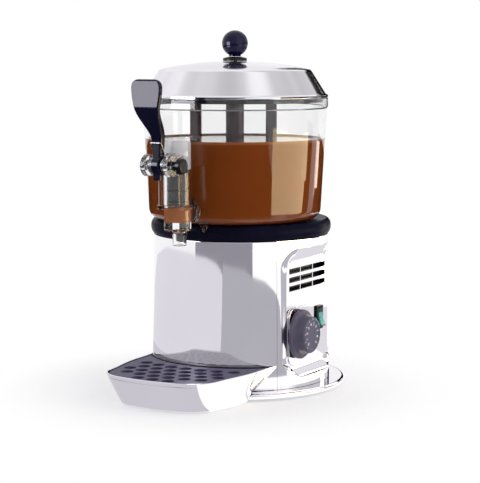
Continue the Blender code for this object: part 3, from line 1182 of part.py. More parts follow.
def make_piston():
    radius = TUBE_BORE - RUNNING_GAP
    top = ARM_TIP_Z + SLOT_HALF + PISTON_TOP_WALL
    seal_low = TUBE_FLOOR + GAP
    stem_low = seal_low + SEAL_HEIGHT + GAP
    groove_half = ORING_WIRE + GAP
    ring_circle = TUBE_BORE - ORING_SQUEEZE - ORING_WIRE
    groove = ring_circle - ORING_WIRE - GAP
    outline = [(0.0, stem_low), (PISTON_STEM, stem_low), (PISTON_STEM, PISTON_FOOT),
               (radius, PISTON_FOOT)]
    for offset in (ORING_LOW, ORING_HIGH):
        middle = PISTON_FOOT + offset
        outline += [(radius, middle - groove_half), (groove, middle - groove_half),
                    (groove, middle + groove_half),
                    (radius, middle + groove_half)]
    outline += [(radius, top), (0.0, top)]
    piston = place("tap_piston", lathe(outline, MEDIUM), (*TAP_AXIS, 0.0))
    back = TAP_AXIS[1] + ARM_TIP + GAP
    cut(piston, block("arm_slot", (-WINDOW_HALF, PIVOT.y, ARM_TIP_Z - SLOT_HALF),
                      (WINDOW_HALF, back, ARM_TIP_Z + SLOT_HALF)))
    finish(piston, "clear")
    for name, offset in (("piston_oring_low", ORING_LOW), ("piston_oring_high", ORING_HIGH)):
        oring = lathe(arc((ring_circle, PISTON_FOOT + offset), ORING_WIRE, 0.0,
                          2.0 * math.pi * 5.0 / 6.0, 5), MEDIUM)
        finish(place(name, oring, (*TAP_AXIS, 0.0)), "rubber")
    edge = SEAL_HEIGHT / 4.0
    seal = lathe([(0.0, seal_low), (SEAL_RADIUS - edge, seal_low), (SEAL_RADIUS, seal_low + edge),
                  (SEAL_RADIUS, seal_low + SEAL_HEIGHT), (0.0, seal_low + SEAL_HEIGHT)], SMALL)
    finish(place("piston_seal", seal, (*TAP_AXIS, 0.0)), "rubber")


# Lid

def make_lid():
    rim = BOWL_RIM_RADIUS + RIM_PROUD
    skirt_low = LID_LOW + LID_RIM_DROP
    plug = BOWL_RIM_RADIUS - BOWL_WALL - LID_PLUG_GAP
    stud_hole = STUD_RADIUS + GAP
    shoulder = LID_CROWN_RADIUS
    crown_radius = shoulder - LID_SHOULDER
    dome = [(0.35 * crown_radius, LID_TOP - 0.1225 * LID_CROWN_RISE * 0.8),
            (0.7 * crown_radius, LID_TOP - 0.49 * LID_CROWN_RISE * 0.8), (crown_radius,
                                                                          LID_TOP - 0.8 * LID_CROWN_RISE)]
    bend = LID_SHOULDER / 2.0
    outer = [(stud_hole, LID_TOP)] + dome
    outer += [(shoulder - bend * 0.4, LID_SHOULDER_Z), (shoulder + bend * 0.5, LID_SHOULDER_Z - bend)]
    outer += [(rim - LID_RIM_DROP, skirt_low + LID_RIM_DROP / 2.0), (rim, skirt_low), (rim, LID_LOW)]
    inner = [(plug, LID_LOW), (plug, LID_LOW - LID_PLUG), (plug - LID_SHEET, LID_LOW - LID_PLUG),
             (plug - LID_SHEET, skirt_low)]
    inner += [(shoulder + bend * 0.5 - LID_SHEET, LID_SHOULDER_Z - bend - LID_SHEET / 2.0),
              (shoulder - bend - LID_SHEET / 2.0, LID_SHOULDER_Z - LID_SHEET)]
    inner += [(r, z - LID_SHEET) for r, z in reversed(dome)] + [(stud_hole, LID_TOP - LID_SHEET)]
    finish(place("lid", lathe(outer + inner, WIDE), (*BOWL_AXIS, 0.0)), "chrome")
    base_low = LID_TOP + GAP
    base_high = base_low + KNOB_BASE_HEIGHT
    edge = KNOB_BASE_HEIGHT / 3.0
    base = lathe([(stud_hole, base_low), (KNOB_BASE_RADIUS, base_low),
                  (KNOB_BASE_RADIUS, base_high - edge),
                  (KNOB_BASE_RADIUS - edge, base_high), (stud_hole, base_high)], MEDIUM)
    finish(place("lid_knob_base", base, (*BOWL_AXIS, 0.0)), "black")
    knob_low = base_high + GAP
    sink = math.sqrt(KNOB_RADIUS ** 2 - KNOB_NECK_RADIUS ** 2)
    centre = knob_low + KNOB_NECK_LENGTH + sink
    grip = knob_low + STUD_GRIP
    outline = [(0.0, grip), (stud_hole, grip), (stud_hole, knob_low), (KNOB_NECK_RADIUS, knob_low)]
    outline += arc((0.0, centre), KNOB_RADIUS, -math.asin(sink / KNOB_RADIUS), math.pi / 2.0, 9)[:-1]
    outline += [(0.0, centre + KNOB_RADIUS)]
    finish(place("lid_knob", lathe(outline, MEDIUM), (*BOWL_AXIS, 0.0)), "navy")
    under = LID_TOP - LID_SHEET - GAP
    stud = lathe([(0.0, under - STUD_HEAD_HEIGHT), (STUD_HEAD, under - STUD_HEAD_HEIGHT),
                  (STUD_HEAD, under),
                  (STUD_RADIUS, under), (STUD_RADIUS, grip - GAP), (0.0, grip - GAP)], SMALL)
    finish(place("lid_stud", stud, (*BOWL_AXIS, 0.0)), "steel")


# Drip tray

def tray_back_radius():
    """Top of the tray's back edge, close round the column."""
    return column_radius(TRAY_HEIGHT / 2.0) + TRAY_CLEARANCE


def tray_side():
    """Direction of the tray's straight right side, from front to back."""
    radius = tray_back_radius()
    back = Vector((radius * math.sin(SEAM_ANGLE), -radius * math.cos(SEAM_ANGLE)))
    return (back - Vector((TRAY_FRONT_HALF, -TRAY_FRONT))).normalized()


def tray_outline(front, front_half, back_radius, inset):
    """Plan of the tray: a bowed front, straight sides and a back hollowed round the column."""
    radius = (front_half ** 2 + TRAY_BULGE ** 2) / (2.0 * TRAY_BULGE)
    swing = math.asin((front_half - inset) / (radius - inset))
    centre = -front - TRAY_BULGE + radius
    points = []
    corner = Vector(((radius - inset) * math.sin(swing), centre - (radius - inset) * math.cos(swing)))
    bow = swing - TRAY_CORNER / radius
    for index in range(11):
        angle = -bow + 2.0 * bow * index / 10
        points.append(((radius - inset) * math.sin(angle), centre - (radius - inset) * math.cos(angle)))
    side = corner + tray_side() * TRAY_CORNER
    turn = []
    for share in (0.35, 0.65, 1.0):
        turn.append(Vector(points[-1]).lerp(corner, share).lerp(corner.lerp(side, share), share))
    points = [(-point.x, point.y) for point in reversed(turn)] + points + [tuple(point) for point in turn]
    along = corner.dot(tray_side())
    run = -along - math.sqrt(along * along - corner.length_squared + (back_radius + inset) ** 2)
    back = corner + tray_side() * run
    back_angle = math.atan2(back.x, -back.y)
    for index in range(17):
        angle = back_angle - 2.0 * back_angle * index / 16
        points.append(((back_radius + inset) * math.sin(angle), -(back_radius + inset) * math.cos(angle)))
    return points


def tray_top(inset):
    return tray_outline(TRAY_FRONT, TRAY_FRONT_HALF, tray_back_radius(), inset)


def tray_foot(inset, share):
    """Plan at the foot (share 0) or part of the way up the front and sides (share 1 is the rim)."""
    return tray_outline(TRAY_FRONT - TRAY_INSET_FRONT * (1.0 - share),
                        TRAY_FRONT_HALF - TRAY_INSET_SIDE * (1.0 - share),
                        BASE_RADIUS + TRAY_CLEARANCE, inset)


def lifted(outline, height):
    return [(x, y, height) for x, y in outline]


def make_tray():
    heel_share = TRAY_HEEL / TRAY_HEIGHT
    tray = place("drip_tray", loft([lifted(tray_foot(0.0, 0.0), 0.0),
                                    lifted(tray_foot(0.0, heel_share), TRAY_HEEL),
                                    lifted(tray_top(0.0), TRAY_HEIGHT)]))
    ledge = TRAY_HEIGHT - GRID_RECESS - GRID_THICKNESS - GAP
    inset = TRAY_WALL + LEDGE_WIDTH
    cut(tray, place("basin", loft([lifted(tray_foot(inset, 0.0), TRAY_FLOOR),
                                   lifted(tray_foot(inset, heel_share), TRAY_HEEL + TRAY_WALL),
                                   lifted(tray_top(inset), ledge), lifted(tray_top(inset),
                                                                          TRAY_HEIGHT)])))
    cut(tray, place("grid_seat", loft([lifted(tray_top(TRAY_WALL), ledge),
                                       lifted(tray_top(TRAY_WALL), TRAY_HEIGHT + GRID_RECESS)])))
    finish(tray, "chrome")
    plan = tray_top(TRAY_WALL + GAP)
    low = ledge + GAP
    high = low + GRID_THICKNESS
    grid = place("drip_grid", prism(plan, low, high))
    holes = bmesh.new()
    for x, y in grid_holes(tray_top(TRAY_WALL + GAP + GRID_MARGIN + GRID_HOLE)):
        circle = bmesh.ops.create_circle(holes, cap_ends=True, radius=GRID_HOLE, segments=12,
                                         matrix=Matrix.Translation((x, y, low - GAP)))
        face = circle["verts"][0].link_faces[0]
        top = bmesh.ops.extrude_face_region(holes, geom=[face])["geom"]
        bmesh.ops.translate(holes, verts=[item for item in top if isinstance(item, bmesh.types.BMVert)],
                            vec=(0.0, 0.0, GRID_THICKNESS + 2.0 * GAP))
    bmesh.ops.recalc_face_normals(holes, faces=holes.faces)
    cut(grid, place("grid_holes", holes))
    finish(grid, "navy")


def grid_holes(limit):
    """Staggered rows of hole centres, bowed like the tray's front, that lie inside an outline."""
    bow = (TRAY_FRONT_HALF ** 2 + TRAY_BULGE ** 2) / (2.0 * TRAY_BULGE)
    front = min(y for x, y in limit)
    depth = max(y for x, y in limit) - front
    for row in range(int((depth + TRAY_BULGE) / GRID_ROW) + 1):
        middle = front + row * GRID_ROW
        shift = 0.5 if row % 2 else 0.0
        count = int(1.5 * TRAY_FRONT / GRID_PITCH)
        for step in range(-count, count + 1):
            angle = (step + shift) * GRID_PITCH / bow
            x = bow * math.sin(angle)
            y = middle + bow * (1.0 - math.cos(angle))
            if abs(angle) < math.pi / 2.0 and inside(limit, x, y + GRID_HOLE / 50.0):
                yield x, y


def inside(outline, x, y):
    crossings = False
    for (ax, ay), (bx, by) in zip(outline, outline[1:] + outline[:1]):
        if (ay > y) != (by > y) and x < ax + (y - ay) * (bx - ax) / (by - ay):
            crossings = not crossings
    return crossings


def centre_footprint():
    """Slide the whole machine so that the middle of its footprint is at the origin."""
    bpy.context.view_layer.update()
    lows = []
    highs = []
    for item in bpy.data.objects:
        if item.type in {"MESH", "CURVE"}:
            corners = [item.matrix_world @ Vector(corner) for corner in item.bound_box]
            lows.append(min(corner.y for corner in corners))
            highs.append(max(corner.y for corner in corners))
    axis = bpy.data.objects["column_axis"]
    axis.location.y -= (min(lows) + max(highs)) / 2.0
    print("column axis y mm", round(1000.0 * axis.location.y, 4))


def main():
    clear_scene()
    axis = bpy.data.objects.new("column_axis", None)
    bpy.context.scene.collection.objects.link(axis)
    make_feet()
    make_base_plate()
    make_column()
    make_control_panel()
    make_control_plate()
    make_thermostat()
    make_switch()
    make_collar()
    make_hot_plate()
    make_drive()
    make_wiring()
    make_bowl()
    make_mixer()
    make_drink()
    make_tap_body()
    make_pin()
    make_lever()
    make_spring()
    make_piston()
    make_lid()
    make_tray()
    centre_footprint()


main()
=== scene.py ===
"""Looks of a chrome hot drink dispenser: mirror shells, a clear bowl of chocolate, a lever tap and a tray."""

import json
import math

import bmesh
import bpy
from mathutils import Matrix, Vector


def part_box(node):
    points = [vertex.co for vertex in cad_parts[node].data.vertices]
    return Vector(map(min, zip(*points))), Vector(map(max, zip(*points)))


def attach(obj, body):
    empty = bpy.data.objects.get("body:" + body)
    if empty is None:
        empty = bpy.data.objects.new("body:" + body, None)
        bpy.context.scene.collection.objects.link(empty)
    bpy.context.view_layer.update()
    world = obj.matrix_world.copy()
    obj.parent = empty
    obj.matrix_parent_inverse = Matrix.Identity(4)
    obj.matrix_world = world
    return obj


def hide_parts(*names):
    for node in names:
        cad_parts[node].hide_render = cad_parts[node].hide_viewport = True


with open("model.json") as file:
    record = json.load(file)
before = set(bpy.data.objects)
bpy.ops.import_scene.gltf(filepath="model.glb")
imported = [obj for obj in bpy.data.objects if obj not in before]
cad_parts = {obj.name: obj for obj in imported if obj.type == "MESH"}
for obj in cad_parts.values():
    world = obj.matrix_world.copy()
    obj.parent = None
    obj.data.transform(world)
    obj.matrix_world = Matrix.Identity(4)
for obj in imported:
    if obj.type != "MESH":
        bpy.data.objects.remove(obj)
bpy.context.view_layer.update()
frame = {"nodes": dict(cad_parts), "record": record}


def corner_low(node):
    return Vector(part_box(node)[0])


def corner_high(node):
    return Vector(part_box(node)[1])


def middle(node):
    return (corner_low(node) + corner_high(node)) / 2.0


# Clearances, turns and fineness
GAP = 0.0003
MERGE = 0.000001
QUARTER = math.pi / 2.0
FULL = 2.0 * math.pi
FINE = 192
ROUND = 96
SMALL = 48

# Places that come from the frame
AXIS = Vector((0.0, middle("collar").y))
BOWL_AXIS = Vector((0.0, middle("lid").y))
TAP_AXIS = Vector((0.0, middle("piston_seal").y))
PIVOT = Vector((0.0, middle("pin_clip").y, middle("pin_clip").z))
SHELL_LOW = corner_low("front_cover").z
SHELL_TOP = corner_high("front_cover").z
COLLAR_LOW = SHELL_TOP + GAP
DECK_TOP = corner_high("collar").z
BOWL_TOP = corner_high("bowl").z
BOWL_LOW = DECK_TOP + 0.001
LID_LOW = BOWL_TOP + GAP

# Base and column
BASE_RADIUS = corner_high("base_plate").y - AXIS.y
COLUMN_LOW_RADIUS = corner_high("rear_housing").y - AXIS.y
COLUMN_TOP_RADIUS = COLUMN_LOW_RADIUS - 0.0023
COLLAR_RADIUS = COLUMN_TOP_RADIUS + 0.0033
COLLAR_SKIRT = 0.008
SHELL_WALL = 0.0025
SEAM_Y = 0.0609
SEAM_ANGLE = math.acos(SEAM_Y / COLUMN_TOP_RADIUS)

# Control panel
PANEL_PLANE = COLUMN_TOP_RADIUS - 0.0136
PANEL_HALF_WIDTH = 0.050
PANEL_LOW = SHELL_LOW + 0.0207
PANEL_HIGH = SHELL_TOP - 0.024
PANEL_CORNER = 0.016
PANEL_SIDE_RIM = 0.007
PANEL_TOP_RIM = 0.0145
PANEL_LOW_RIM = 0.009
PANEL_SHEET = 0.0025
VENT_ROWS = 3
VENT_BAYS = 3
VENT_HALF = PANEL_HALF_WIDTH - 0.006
VENT_TOP = PANEL_HIGH - 0.0085
VENT_PITCH = 0.0098
VENT_HEIGHT = 0.0062
VENT_CORNER = 0.0011
VENT_RIB = 0.0013
VENT_SINK = 0.0013
PLATE_HALF_WIDTH = PANEL_HALF_WIDTH - 0.0035
PLATE_LOW = PANEL_LOW + 0.0025
PLATE_HIGH = PANEL_LOW + 0.0685
PLATE_CORNER = 0.013
PLATE_FACE = PANEL_PLANE + GAP + 0.0015

# Bowl and drink
BOWL_FOOT_RADIUS = 0.099
BOWL_RIM_RADIUS = 0.1053
BOWL_CORNER = 0.012
RIM_PROUD = 0.0013
BOWL_WALL = 0.003
BOWL_FLOOR_TOP = BOWL_LOW + 0.0035
RIM_LOW = BOWL_TOP - 0.012
UPSTAND_BORE = 0.006
UPSTAND_RADIUS = 0.0085
UPSTAND_TOP = BOWL_TOP - 0.033
DRINK_LEVEL = 0.2855
# Height of the band of painted highlight at the top of the drink, along the bowl's wall
MENISCUS_BAND = 0.0030

# Tap
OUTLET = Vector((0.0, 0.0, BOWL_LOW + 0.0166))
BOSS_RADIUS = 0.0145
BOSS_FACE = BOWL_AXIS.y - BOWL_RIM_RADIUS + 0.0018
SPIGOT_RADIUS = 0.010
TUBE_RADIUS = 0.0148
TUBE_BORE = 0.012
TUBE_FLOOR = BOWL_LOW + 0.006
TUBE_TOP = BOWL_LOW + 0.0935
TAP_GASKET = 0.0015
EAR_INNER = 0.0113
EAR_THICKNESS = 0.006
PIN_RADIUS = 0.0035

# Lever and piston
PIVOT_REACH = 0.036
LEVER_FORWARD = 0.002
CRANK_LOW = 0.027
CRANK_RISE = 0.037
CRANK_SHIFT = 0.0215
NECK_HALF = 0.0045
NECK_GROWTH = 0.0018
FLARE_RISE = 0.0565
FLARE_GROWTH = 0.0122
TIP_LOW = 0.0835
TIP_CORNER = 0.0085
ROOT_HALF = 0.0046
THINNING = 0.0017
EDGE_LOW = 0.0895
EDGE_LENGTH = 0.0026
HANDLE_LENGTH = 0.065
HUB_HALF = 0.0045
ARM_LENGTH = PIVOT_REACH
ARM_ANGLE = math.radians(15)
ARM_HALF_WIDTH = 0.0042
ORING_RADIUS = 0.00075
ORING_OFFSETS = {"piston_oring_low": 0.0045, "piston_oring_high": 0.0165}


def column_radius(height):
    share = (height - SHELL_LOW) / (SHELL_TOP - SHELL_LOW)
    return COLUMN_LOW_RADIUS + (COLUMN_TOP_RADIUS - COLUMN_LOW_RADIUS) * share


# Tray
TRAY_HEIGHT = corner_high("drip_tray").z
TRAY_FRONT = BASE_RADIUS + 0.071
TRAY_FRONT_HALF = 0.067
TRAY_BULGE = 0.012
TRAY_SIDE_BOW = 0.0030
TRAY_WALL = 0.002
TRAY_CORNER = 0.024
TRAY_BACK = column_radius(TRAY_HEIGHT / 2.0) + 0.0005
TRAY_SIDE = (Vector((TRAY_BACK * math.sin(SEAM_ANGLE), -TRAY_BACK * math.cos(SEAM_ANGLE)))
             - Vector((TRAY_FRONT_HALF, -TRAY_FRONT))).normalized()
GRID_THICKNESS = 0.0035
HOLE_RADIUS = 0.0070
HOLE_PITCH = 0.0192
HOLE_ROW = 0.0168

# Studio
CAMERA_AZIMUTH = math.radians(30)
CAMERA_PITCH = math.radians(6.8)
CAMERA_DISTANCE = 1.853
CAMERA_HEIGHT = 0.386
FLAG_NEAR = 0.125
FLAG_REACH = 1.2
FLAG_DROP = 0.008
PATCH_LOW = 0.215
PATCH_TOP = 0.37
PATCH_FAR = 0.934
HORIZON = 0.05


# Shaping helpers

def eased(corners, steps=5):
    """Points along corners (a, b) or (a, b, radius); a corner with a radius becomes an arc."""
    points = []
    count = len(corners)
    for index, corner in enumerate(corners):
        here = Vector(corner[:2])
        if len(corner) == 2:
            points.append(tuple(here))
            continue
        radius = corner[2]
        before = (Vector(corners[index - 1][:2]) - here).normalized()
        after = (Vector(corners[(index + 1) % count][:2]) - here).normalized()
        half = before.angle(after) / 2.0
        centre = here + (before + after).normalized() * (radius / math.sin(half))
        first = here + before * (radius / math.tan(half)) - centre
        last = here + after * (radius / math.tan(half)) - centre
        swing = first.angle_signed(last)
        for step in range(steps + 1):
            spoke = first.copy()
            spoke.rotate(Matrix.Rotation(-swing * step / steps, 2))
            points.append(tuple(centre + spoke))
    return points


def arc(centre, radius, start, end, steps):
    points = []
    for index in range(steps + 1):
        angle = start + (end - start) * index / steps
        points.append((centre[0] + radius * math.cos(angle), centre[1] + radius * math.sin(angle)))
    return points


def circle(centre, radius, count):
    return arc(centre, radius, 0.0, FULL * (count - 1) / count, count - 1)


def rounded(low_a, high_a, low_b, high_b, radius=0.0, steps=3):
    """Corners of a box in a plane, each rounded into an arc if a radius is given."""
    corners = [(low_a, low_b), (high_a, low_b), (high_a, high_b), (low_a, high_b)]
    if radius > 0.0:
        corners = eased([(*corner, radius) for corner in corners], steps)
    return corners


def rod(radius, low, high, low_edge=0.0, high_edge=0.0, steps=4):
    """Half section of a solid cylinder, with a rounded rim where an edge is given."""
    rims = [(radius, low, low_edge) if low_edge else (radius, low)]
    rims += [(radius, high, high_edge) if high_edge else (radius, high)]
    return eased([(0.0, low), *rims, (0.0, high)], steps)


def mirrored(points):
    return [Vector((-point[0], *point[1:])) for point in points]


def spun(profile, centre=(0.0, 0.0), steps=ROUND, start=0.0, sweep=FULL):
    """Spin a profile of (radius, height) points round an upright axis into a closed shape."""
    bm = bmesh.new()
    verts = [bm.verts.new((radius * math.cos(start), radius * math.sin(start), z)) for radius, z in profile]
    edges = [bm.edges.new(pair) for pair in zip(verts, verts[1:])]
    if profile[0][0] > 0.0:
        edges.append(bm.edges.new((verts[-1], verts[0])))
    full = sweep > FULL - 0.0001
    bmesh.ops.spin(bm, geom=verts + edges, cent=(0, 0, 0), axis=(0, 0, 1), dvec=(0, 0, 0),
                   angle=sweep, steps=steps, use_merge=full)
    bmesh.ops.remove_doubles(bm, verts=bm.verts, dist=MERGE)
    if not full:
        bmesh.ops.holes_fill(bm, edges=[edge for edge in bm.edges if edge.is_boundary], sides=0)
    bmesh.ops.recalc_face_normals(bm, faces=bm.faces)
    bmesh.ops.translate(bm, verts=bm.verts, vec=(centre[0], centre[1], 0.0))
    return bm


def set_at(bm, place, angle, axis):
    """Turn a shape round an axis through the origin, then carry it to a place."""
    bmesh.ops.rotate(bm, verts=bm.verts, matrix=Matrix.Rotation(angle, 3, axis))
    bmesh.ops.translate(bm, verts=bm.verts, vec=place)
    return bm


def turned(profile, place, along, steps=SMALL):
    """Spin a profile round an axis through a place, along X or Y."""
    axis, angle = {"X": ("Y", QUARTER), "Y": ("X", -QUARTER)}[along]
    return set_at(spun(profile, steps=steps), place, angle, axis)


def lifted(along, a, b, c):
    """A point of an outline (a, b) at a distance c along an axis."""
    return {"Z": (a, b, c), "X": (c, a, b), "Y": (a, c, b)}[along]


def slab(outline, low, high, along="Z", edge=0.0):
    """Extrude a closed outline, with its two rims rounded."""
    bm = bmesh.new()
    face = bm.faces.new([bm.verts.new(lifted(along, a, b, low)) for a, b in outline])
    grown = bmesh.ops.extrude_face_region(bm, geom=[face])
    moved = [item for item in grown["geom"] if isinstance(item, bmesh.types.BMVert)]
    bmesh.ops.translate(bm, verts=moved, vec=Vector(lifted(along, 0.0, 0.0, high - low)))
    bmesh.ops.recalc_face_normals(bm, faces=bm.faces)
    if edge > 0.0:
        caps = [face for face in bm.faces if len(face.verts) == len(outline) and len(outline) > 4]
        rims = {rim for face in caps for rim in face.edges}
        bmesh.ops.bevel(bm, geom=list(rims), offset=edge, offset_type="OFFSET", affect="EDGES",
                        segments=3, profile=0.5, material=-1)
    return bm


def bridged(rings):
    """Carry a ring of points on through rings of equal count into one skin, closed at its two ends."""
    bm = bmesh.new()
    verts = [bm.verts.new(point) for point in rings[0]]
    edges = [bm.edges.new((verts[index - 1], verts[index])) for index in range(len(verts))]
    bm.faces.new(verts)
    for ring in rings[1:]:
        grown = bmesh.ops.extrude_edge_only(bm, edges=edges)["geom"]
        fresh = {item for item in grown if isinstance(item, bmesh.types.BMVert)}
        edges = [item for item in grown
                 if isinstance(item, bmesh.types.BMEdge) and fresh.issuperset(item.verts)]
        verts = [next(edge.other_vert(vert) for edge in vert.link_edges if edge.other_vert(vert) in fresh)
                 for vert in verts]
        for vert, point in zip(verts, ring):
            vert.co = point
    bm.faces.new(verts)
    bmesh.ops.recalc_face_normals(bm, faces=bm.faces)
    return bm


def mesh_of(name, bm):
    mesh = bpy.data.meshes.new(name)
    bm.to_mesh(mesh)
    bm.free()
    return mesh


def placed(name, data):
    item = bpy.data.objects.new(name, data)
    bpy.context.scene.collection.objects.link(item)
    return item


def shape_of(item):
    """The final shape of an object, with its modifiers, as a new bmesh."""
    bpy.context.view_layer.update()
    evaluated = item.evaluated_get(bpy.context.evaluated_depsgraph_get())
    bm = bmesh.new()
    bm.from_mesh(evaluated.to_mesh())
    evaluated.to_mesh_clear()
    return bm


def meshed(curve):
    """The shape of a curve or a text; the object that makes it is removed again."""
    maker = placed(curve.name, curve)
    bm = shape_of(maker)
    bpy.data.objects.remove(maker, do_unlink=True)
    return bm


def carve(bm, tool, operation):
    """Boolean two shapes and return the result as a new bmesh."""
    shapes = [placed("carved", mesh_of("carved", bm)), placed("carver", mesh_of("carver", tool))]
    modifier = shapes[0].modifiers.new("carve", "BOOLEAN")
    modifier.operation = operation
    modifier.solver = "EXACT"
    modifier.object = shapes[1]
    result = shape_of(shapes[0])
    for item in shapes:
        mesh = item.data
        bpy.data.objects.remove(item, do_unlink=True)
        bpy.data.meshes.remove(mesh)
    return result


def fused(bm, *shapes):
    for shape in shapes:
        bm = carve(bm, shape, "UNION")
    return bm


def cut(bm, *tools):
    for tool in tools:
        bm = carve(bm, tool, "DIFFERENCE")
    return bm


def moved_to_axis(bm, axis=AXIS):
    bmesh.ops.translate(bm, verts=bm.verts, vec=(axis.x, axis.y, 0.0))
    return bm


def piece(name, bm, material, slot, body, *nodes, sharp=32.0):
    """Finish a shape as an object that rides on a body and stands for the CAD nodes that are named."""
    bmesh.ops.remove_doubles(bm, verts=bm.verts, dist=MERGE)
    mesh = mesh_of(name, bm)
    mesh.materials.append(material)
    mesh.shade_smooth()
    mesh.set_sharp_from_angle(angle=math.radians(sharp))
    item = placed(name, mesh)
    even = item.modifiers.new("even_shading", "WEIGHTED_NORMAL")
    even.keep_sharp = True
    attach(item, body)
    if nodes:
        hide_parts(*nodes)
    return item


def repaint(item, materials, choose):
    """Add materials to a piece and give each face the one that choose counts out for it."""
    for material in materials:
        item.data.materials.append(material)
    for face in item.data.polygons:
        face.material_index = choose(face)


def from_axis(face, axis):
    """How far the middle of a face is from an upright axis."""
    return (Vector(face.center[:2]) - axis).length


# Node helpers

def node(tree, kind, **settings):
    made = tree.nodes.new("ShaderNode" + kind)
    for name, value in settings.items():
        setattr(made, name, value)
    return made


def feed(tree, target, value):
    """Join an output to an input, or set the input to a plain value."""
    if isinstance(value, bpy.types.NodeSocket):
        tree.links.new(value, target)
    else:
        target.default_value = value


def maths(tree, operation, *values):
    made = node(tree, "Math", operation=operation)
    for target, value in zip(made.inputs, values):
        feed(tree, target, value)
    return made.outputs["Value"]


def vector_maths(tree, operation, *values):
    made = node(tree, "VectorMath", operation=operation)
    for target, value in zip(made.inputs, values):
        feed(tree, target, value)
    return made.outputs["Value" if operation in ("DOT_PRODUCT", "LENGTH") else "Vector"]


def mapped(tree, value, source, result=(0.0, 1.0), style="LINEAR"):
    """A value carried from one range to another."""
    made = node(tree, "MapRange", interpolation_type=style)
    for name, number in zip(("From Min", "From Max", "To Min", "To Max"), (*source, *result)):
        made.inputs[name].default_value = number
    tree.links.new(value, made.inputs["Value"])
    return made.outputs["Result"]


def ramp(tree, factor, stops, style="LINEAR"):
    """Colours along a factor, from stops (position, colour) in rising order."""
    made = node(tree, "ValToRGB")
    made.color_ramp.interpolation = style
    elements = made.color_ramp.elements
    for index, (position, colour) in enumerate(stops):
        stop = elements[index] if index < 2 else elements.new(position)
        stop.position = position
        stop.color = (*colour, 1.0)
    tree.links.new(factor, made.inputs["Fac"])
    return made.outputs["Color"]


def cloud(tree, place, scale, detail):
    made = node(tree, "TexNoise")
    made.inputs["Scale"].default_value = scale
    made.inputs["Detail"].default_value = detail
    tree.links.new(place, made.inputs["Vector"])
    return made.outputs["Fac"]


def show_mix(tree, share, first, second):
    """Send a mix of two shaders to the surface."""
    blend = node(tree, "MixShader")
    for target, output in zip(blend.inputs, (share, first, second)):
        tree.links.new(output, target)
    tree.links.new(blend.outputs["Shader"], tree.nodes["Material Output"].inputs["Surface"])


# Materials

def painted(name):
    material = bpy.data.materials.new(name)
    material.use_nodes = True
    return material, material.node_tree


def finish(name, colour, shade, roughness, spread, grain, bump_grain, bump, sockets=None):
    """A Principled surface whose colour, gloss and height vary a little over the piece."""
    material, tree = painted(name)
    shader = tree.nodes["Principled BSDF"]
    for socket, value in (sockets or {}).items():
        shader.inputs[socket].default_value = value
    place = node(tree, "TexCoord").outputs["Object"]
    patches = cloud(tree, place, grain, 5.0)
    patch_range = (0.3, 0.7)
    tones = [[part * (1.0 - shade) for part in colour], [min(part * (1.0 + shade), 1.0) for part in colour]]
    tree.links.new(ramp(tree, patches, list(zip(patch_range, tones))), shader.inputs["Base Color"])
    gloss = mapped(tree, patches, patch_range, (roughness - spread, roughness + spread))
    tree.links.new(gloss, shader.inputs["Roughness"])
    height = node(tree, "Bump")
    height.inputs["Strength"].default_value = 0.6
    height.inputs["Distance"].default_value = bump
    tree.links.new(cloud(tree, place, bump_grain, 3.0), height.inputs["Height"])
    tree.links.new(height.outputs["Normal"], shader.inputs["Normal"])
    return material


def specular(level):
    return {"Specular IOR Level": level}


def see_through(share):
    return {"Transmission Weight": share, "IOR": 1.50}


METAL = {"Metallic": 1.0}
CHROME = finish("chrome", (0.90, 0.89, 0.92), 0.02, 0.045, 0.02, 14.0, 9.0, 0.00012, METAL)
SATIN = finish("satin_chrome", (0.90, 0.89, 0.91), 0.02, 0.13, 0.02, 14.0, 12.0, 0.00008, METAL)
STEEL = finish("steel", (0.60, 0.60, 0.61), 0.06, 0.26, 0.08, 60.0, 900.0, 0.00001, METAL)
ALUMINIUM = finish("aluminium", (0.66, 0.67, 0.68), 0.05, 0.38, 0.08, 80.0, 700.0, 0.00002, METAL)
BRASS = finish("brass", (0.62, 0.45, 0.20), 0.08, 0.32, 0.08, 90.0, 800.0, 0.00001, METAL)
NAVY = finish("navy_plastic", (0.0055, 0.0055, 0.020), 0.18, 0.10, 0.03, 40.0, 1500.0, 0.000003,
              specular(0.35))
KNOB = finish("knob_plastic", (0.0055, 0.0045, 0.032), 0.15, 0.08, 0.02, 40.0, 1500.0, 0.000003,
              specular(0.3))
COLLAR = finish("collar_plastic", (0.0050, 0.0050, 0.0135), 0.18, 0.28, 0.04, 40.0, 1500.0, 0.000003,
                specular(0.012))
GRID = finish("grid_plastic", (0.070, 0.062, 0.118), 0.12, 0.42, 0.05, 60.0, 1800.0, 0.000006,
              specular(0.12))
BLACK = finish("black_plastic", (0.006, 0.006, 0.008), 0.2, 0.18, 0.05, 60.0, 1500.0, 0.000004,
               specular(0.3))
GREY = finish("grey_plastic", (0.076, 0.070, 0.112), 0.10, 0.38, 0.06, 70.0, 2200.0, 0.000006,
              specular(0.22))
MAROON = finish("mixer_plastic", (0.050, 0.010, 0.020), 0.15, 0.14, 0.04, 60.0, 1500.0, 0.000003,
                specular(0.35))
TEAL = finish("teal_plastic", (0.040, 0.300, 0.275), 0.10, 0.22, 0.05, 90.0, 1800.0, 0.000006)
CREAM = finish("cream_plastic", (0.60, 0.57, 0.50), 0.06, 0.50, 0.06, 60.0, 1500.0, 0.00001)
RUBBER = finish("rubber", (0.022, 0.022, 0.025), 0.25, 0.62, 0.08, 90.0, 1800.0, 0.00002)
SILICONE = finish("brown_silicone", (0.060, 0.035, 0.024), 0.15, 0.40, 0.06, 90.0, 1500.0, 0.00001)
WHITE = finish("white_print", (0.78, 0.78, 0.80), 0.05, 0.50, 0.05, 120.0, 1500.0, 0.000004)
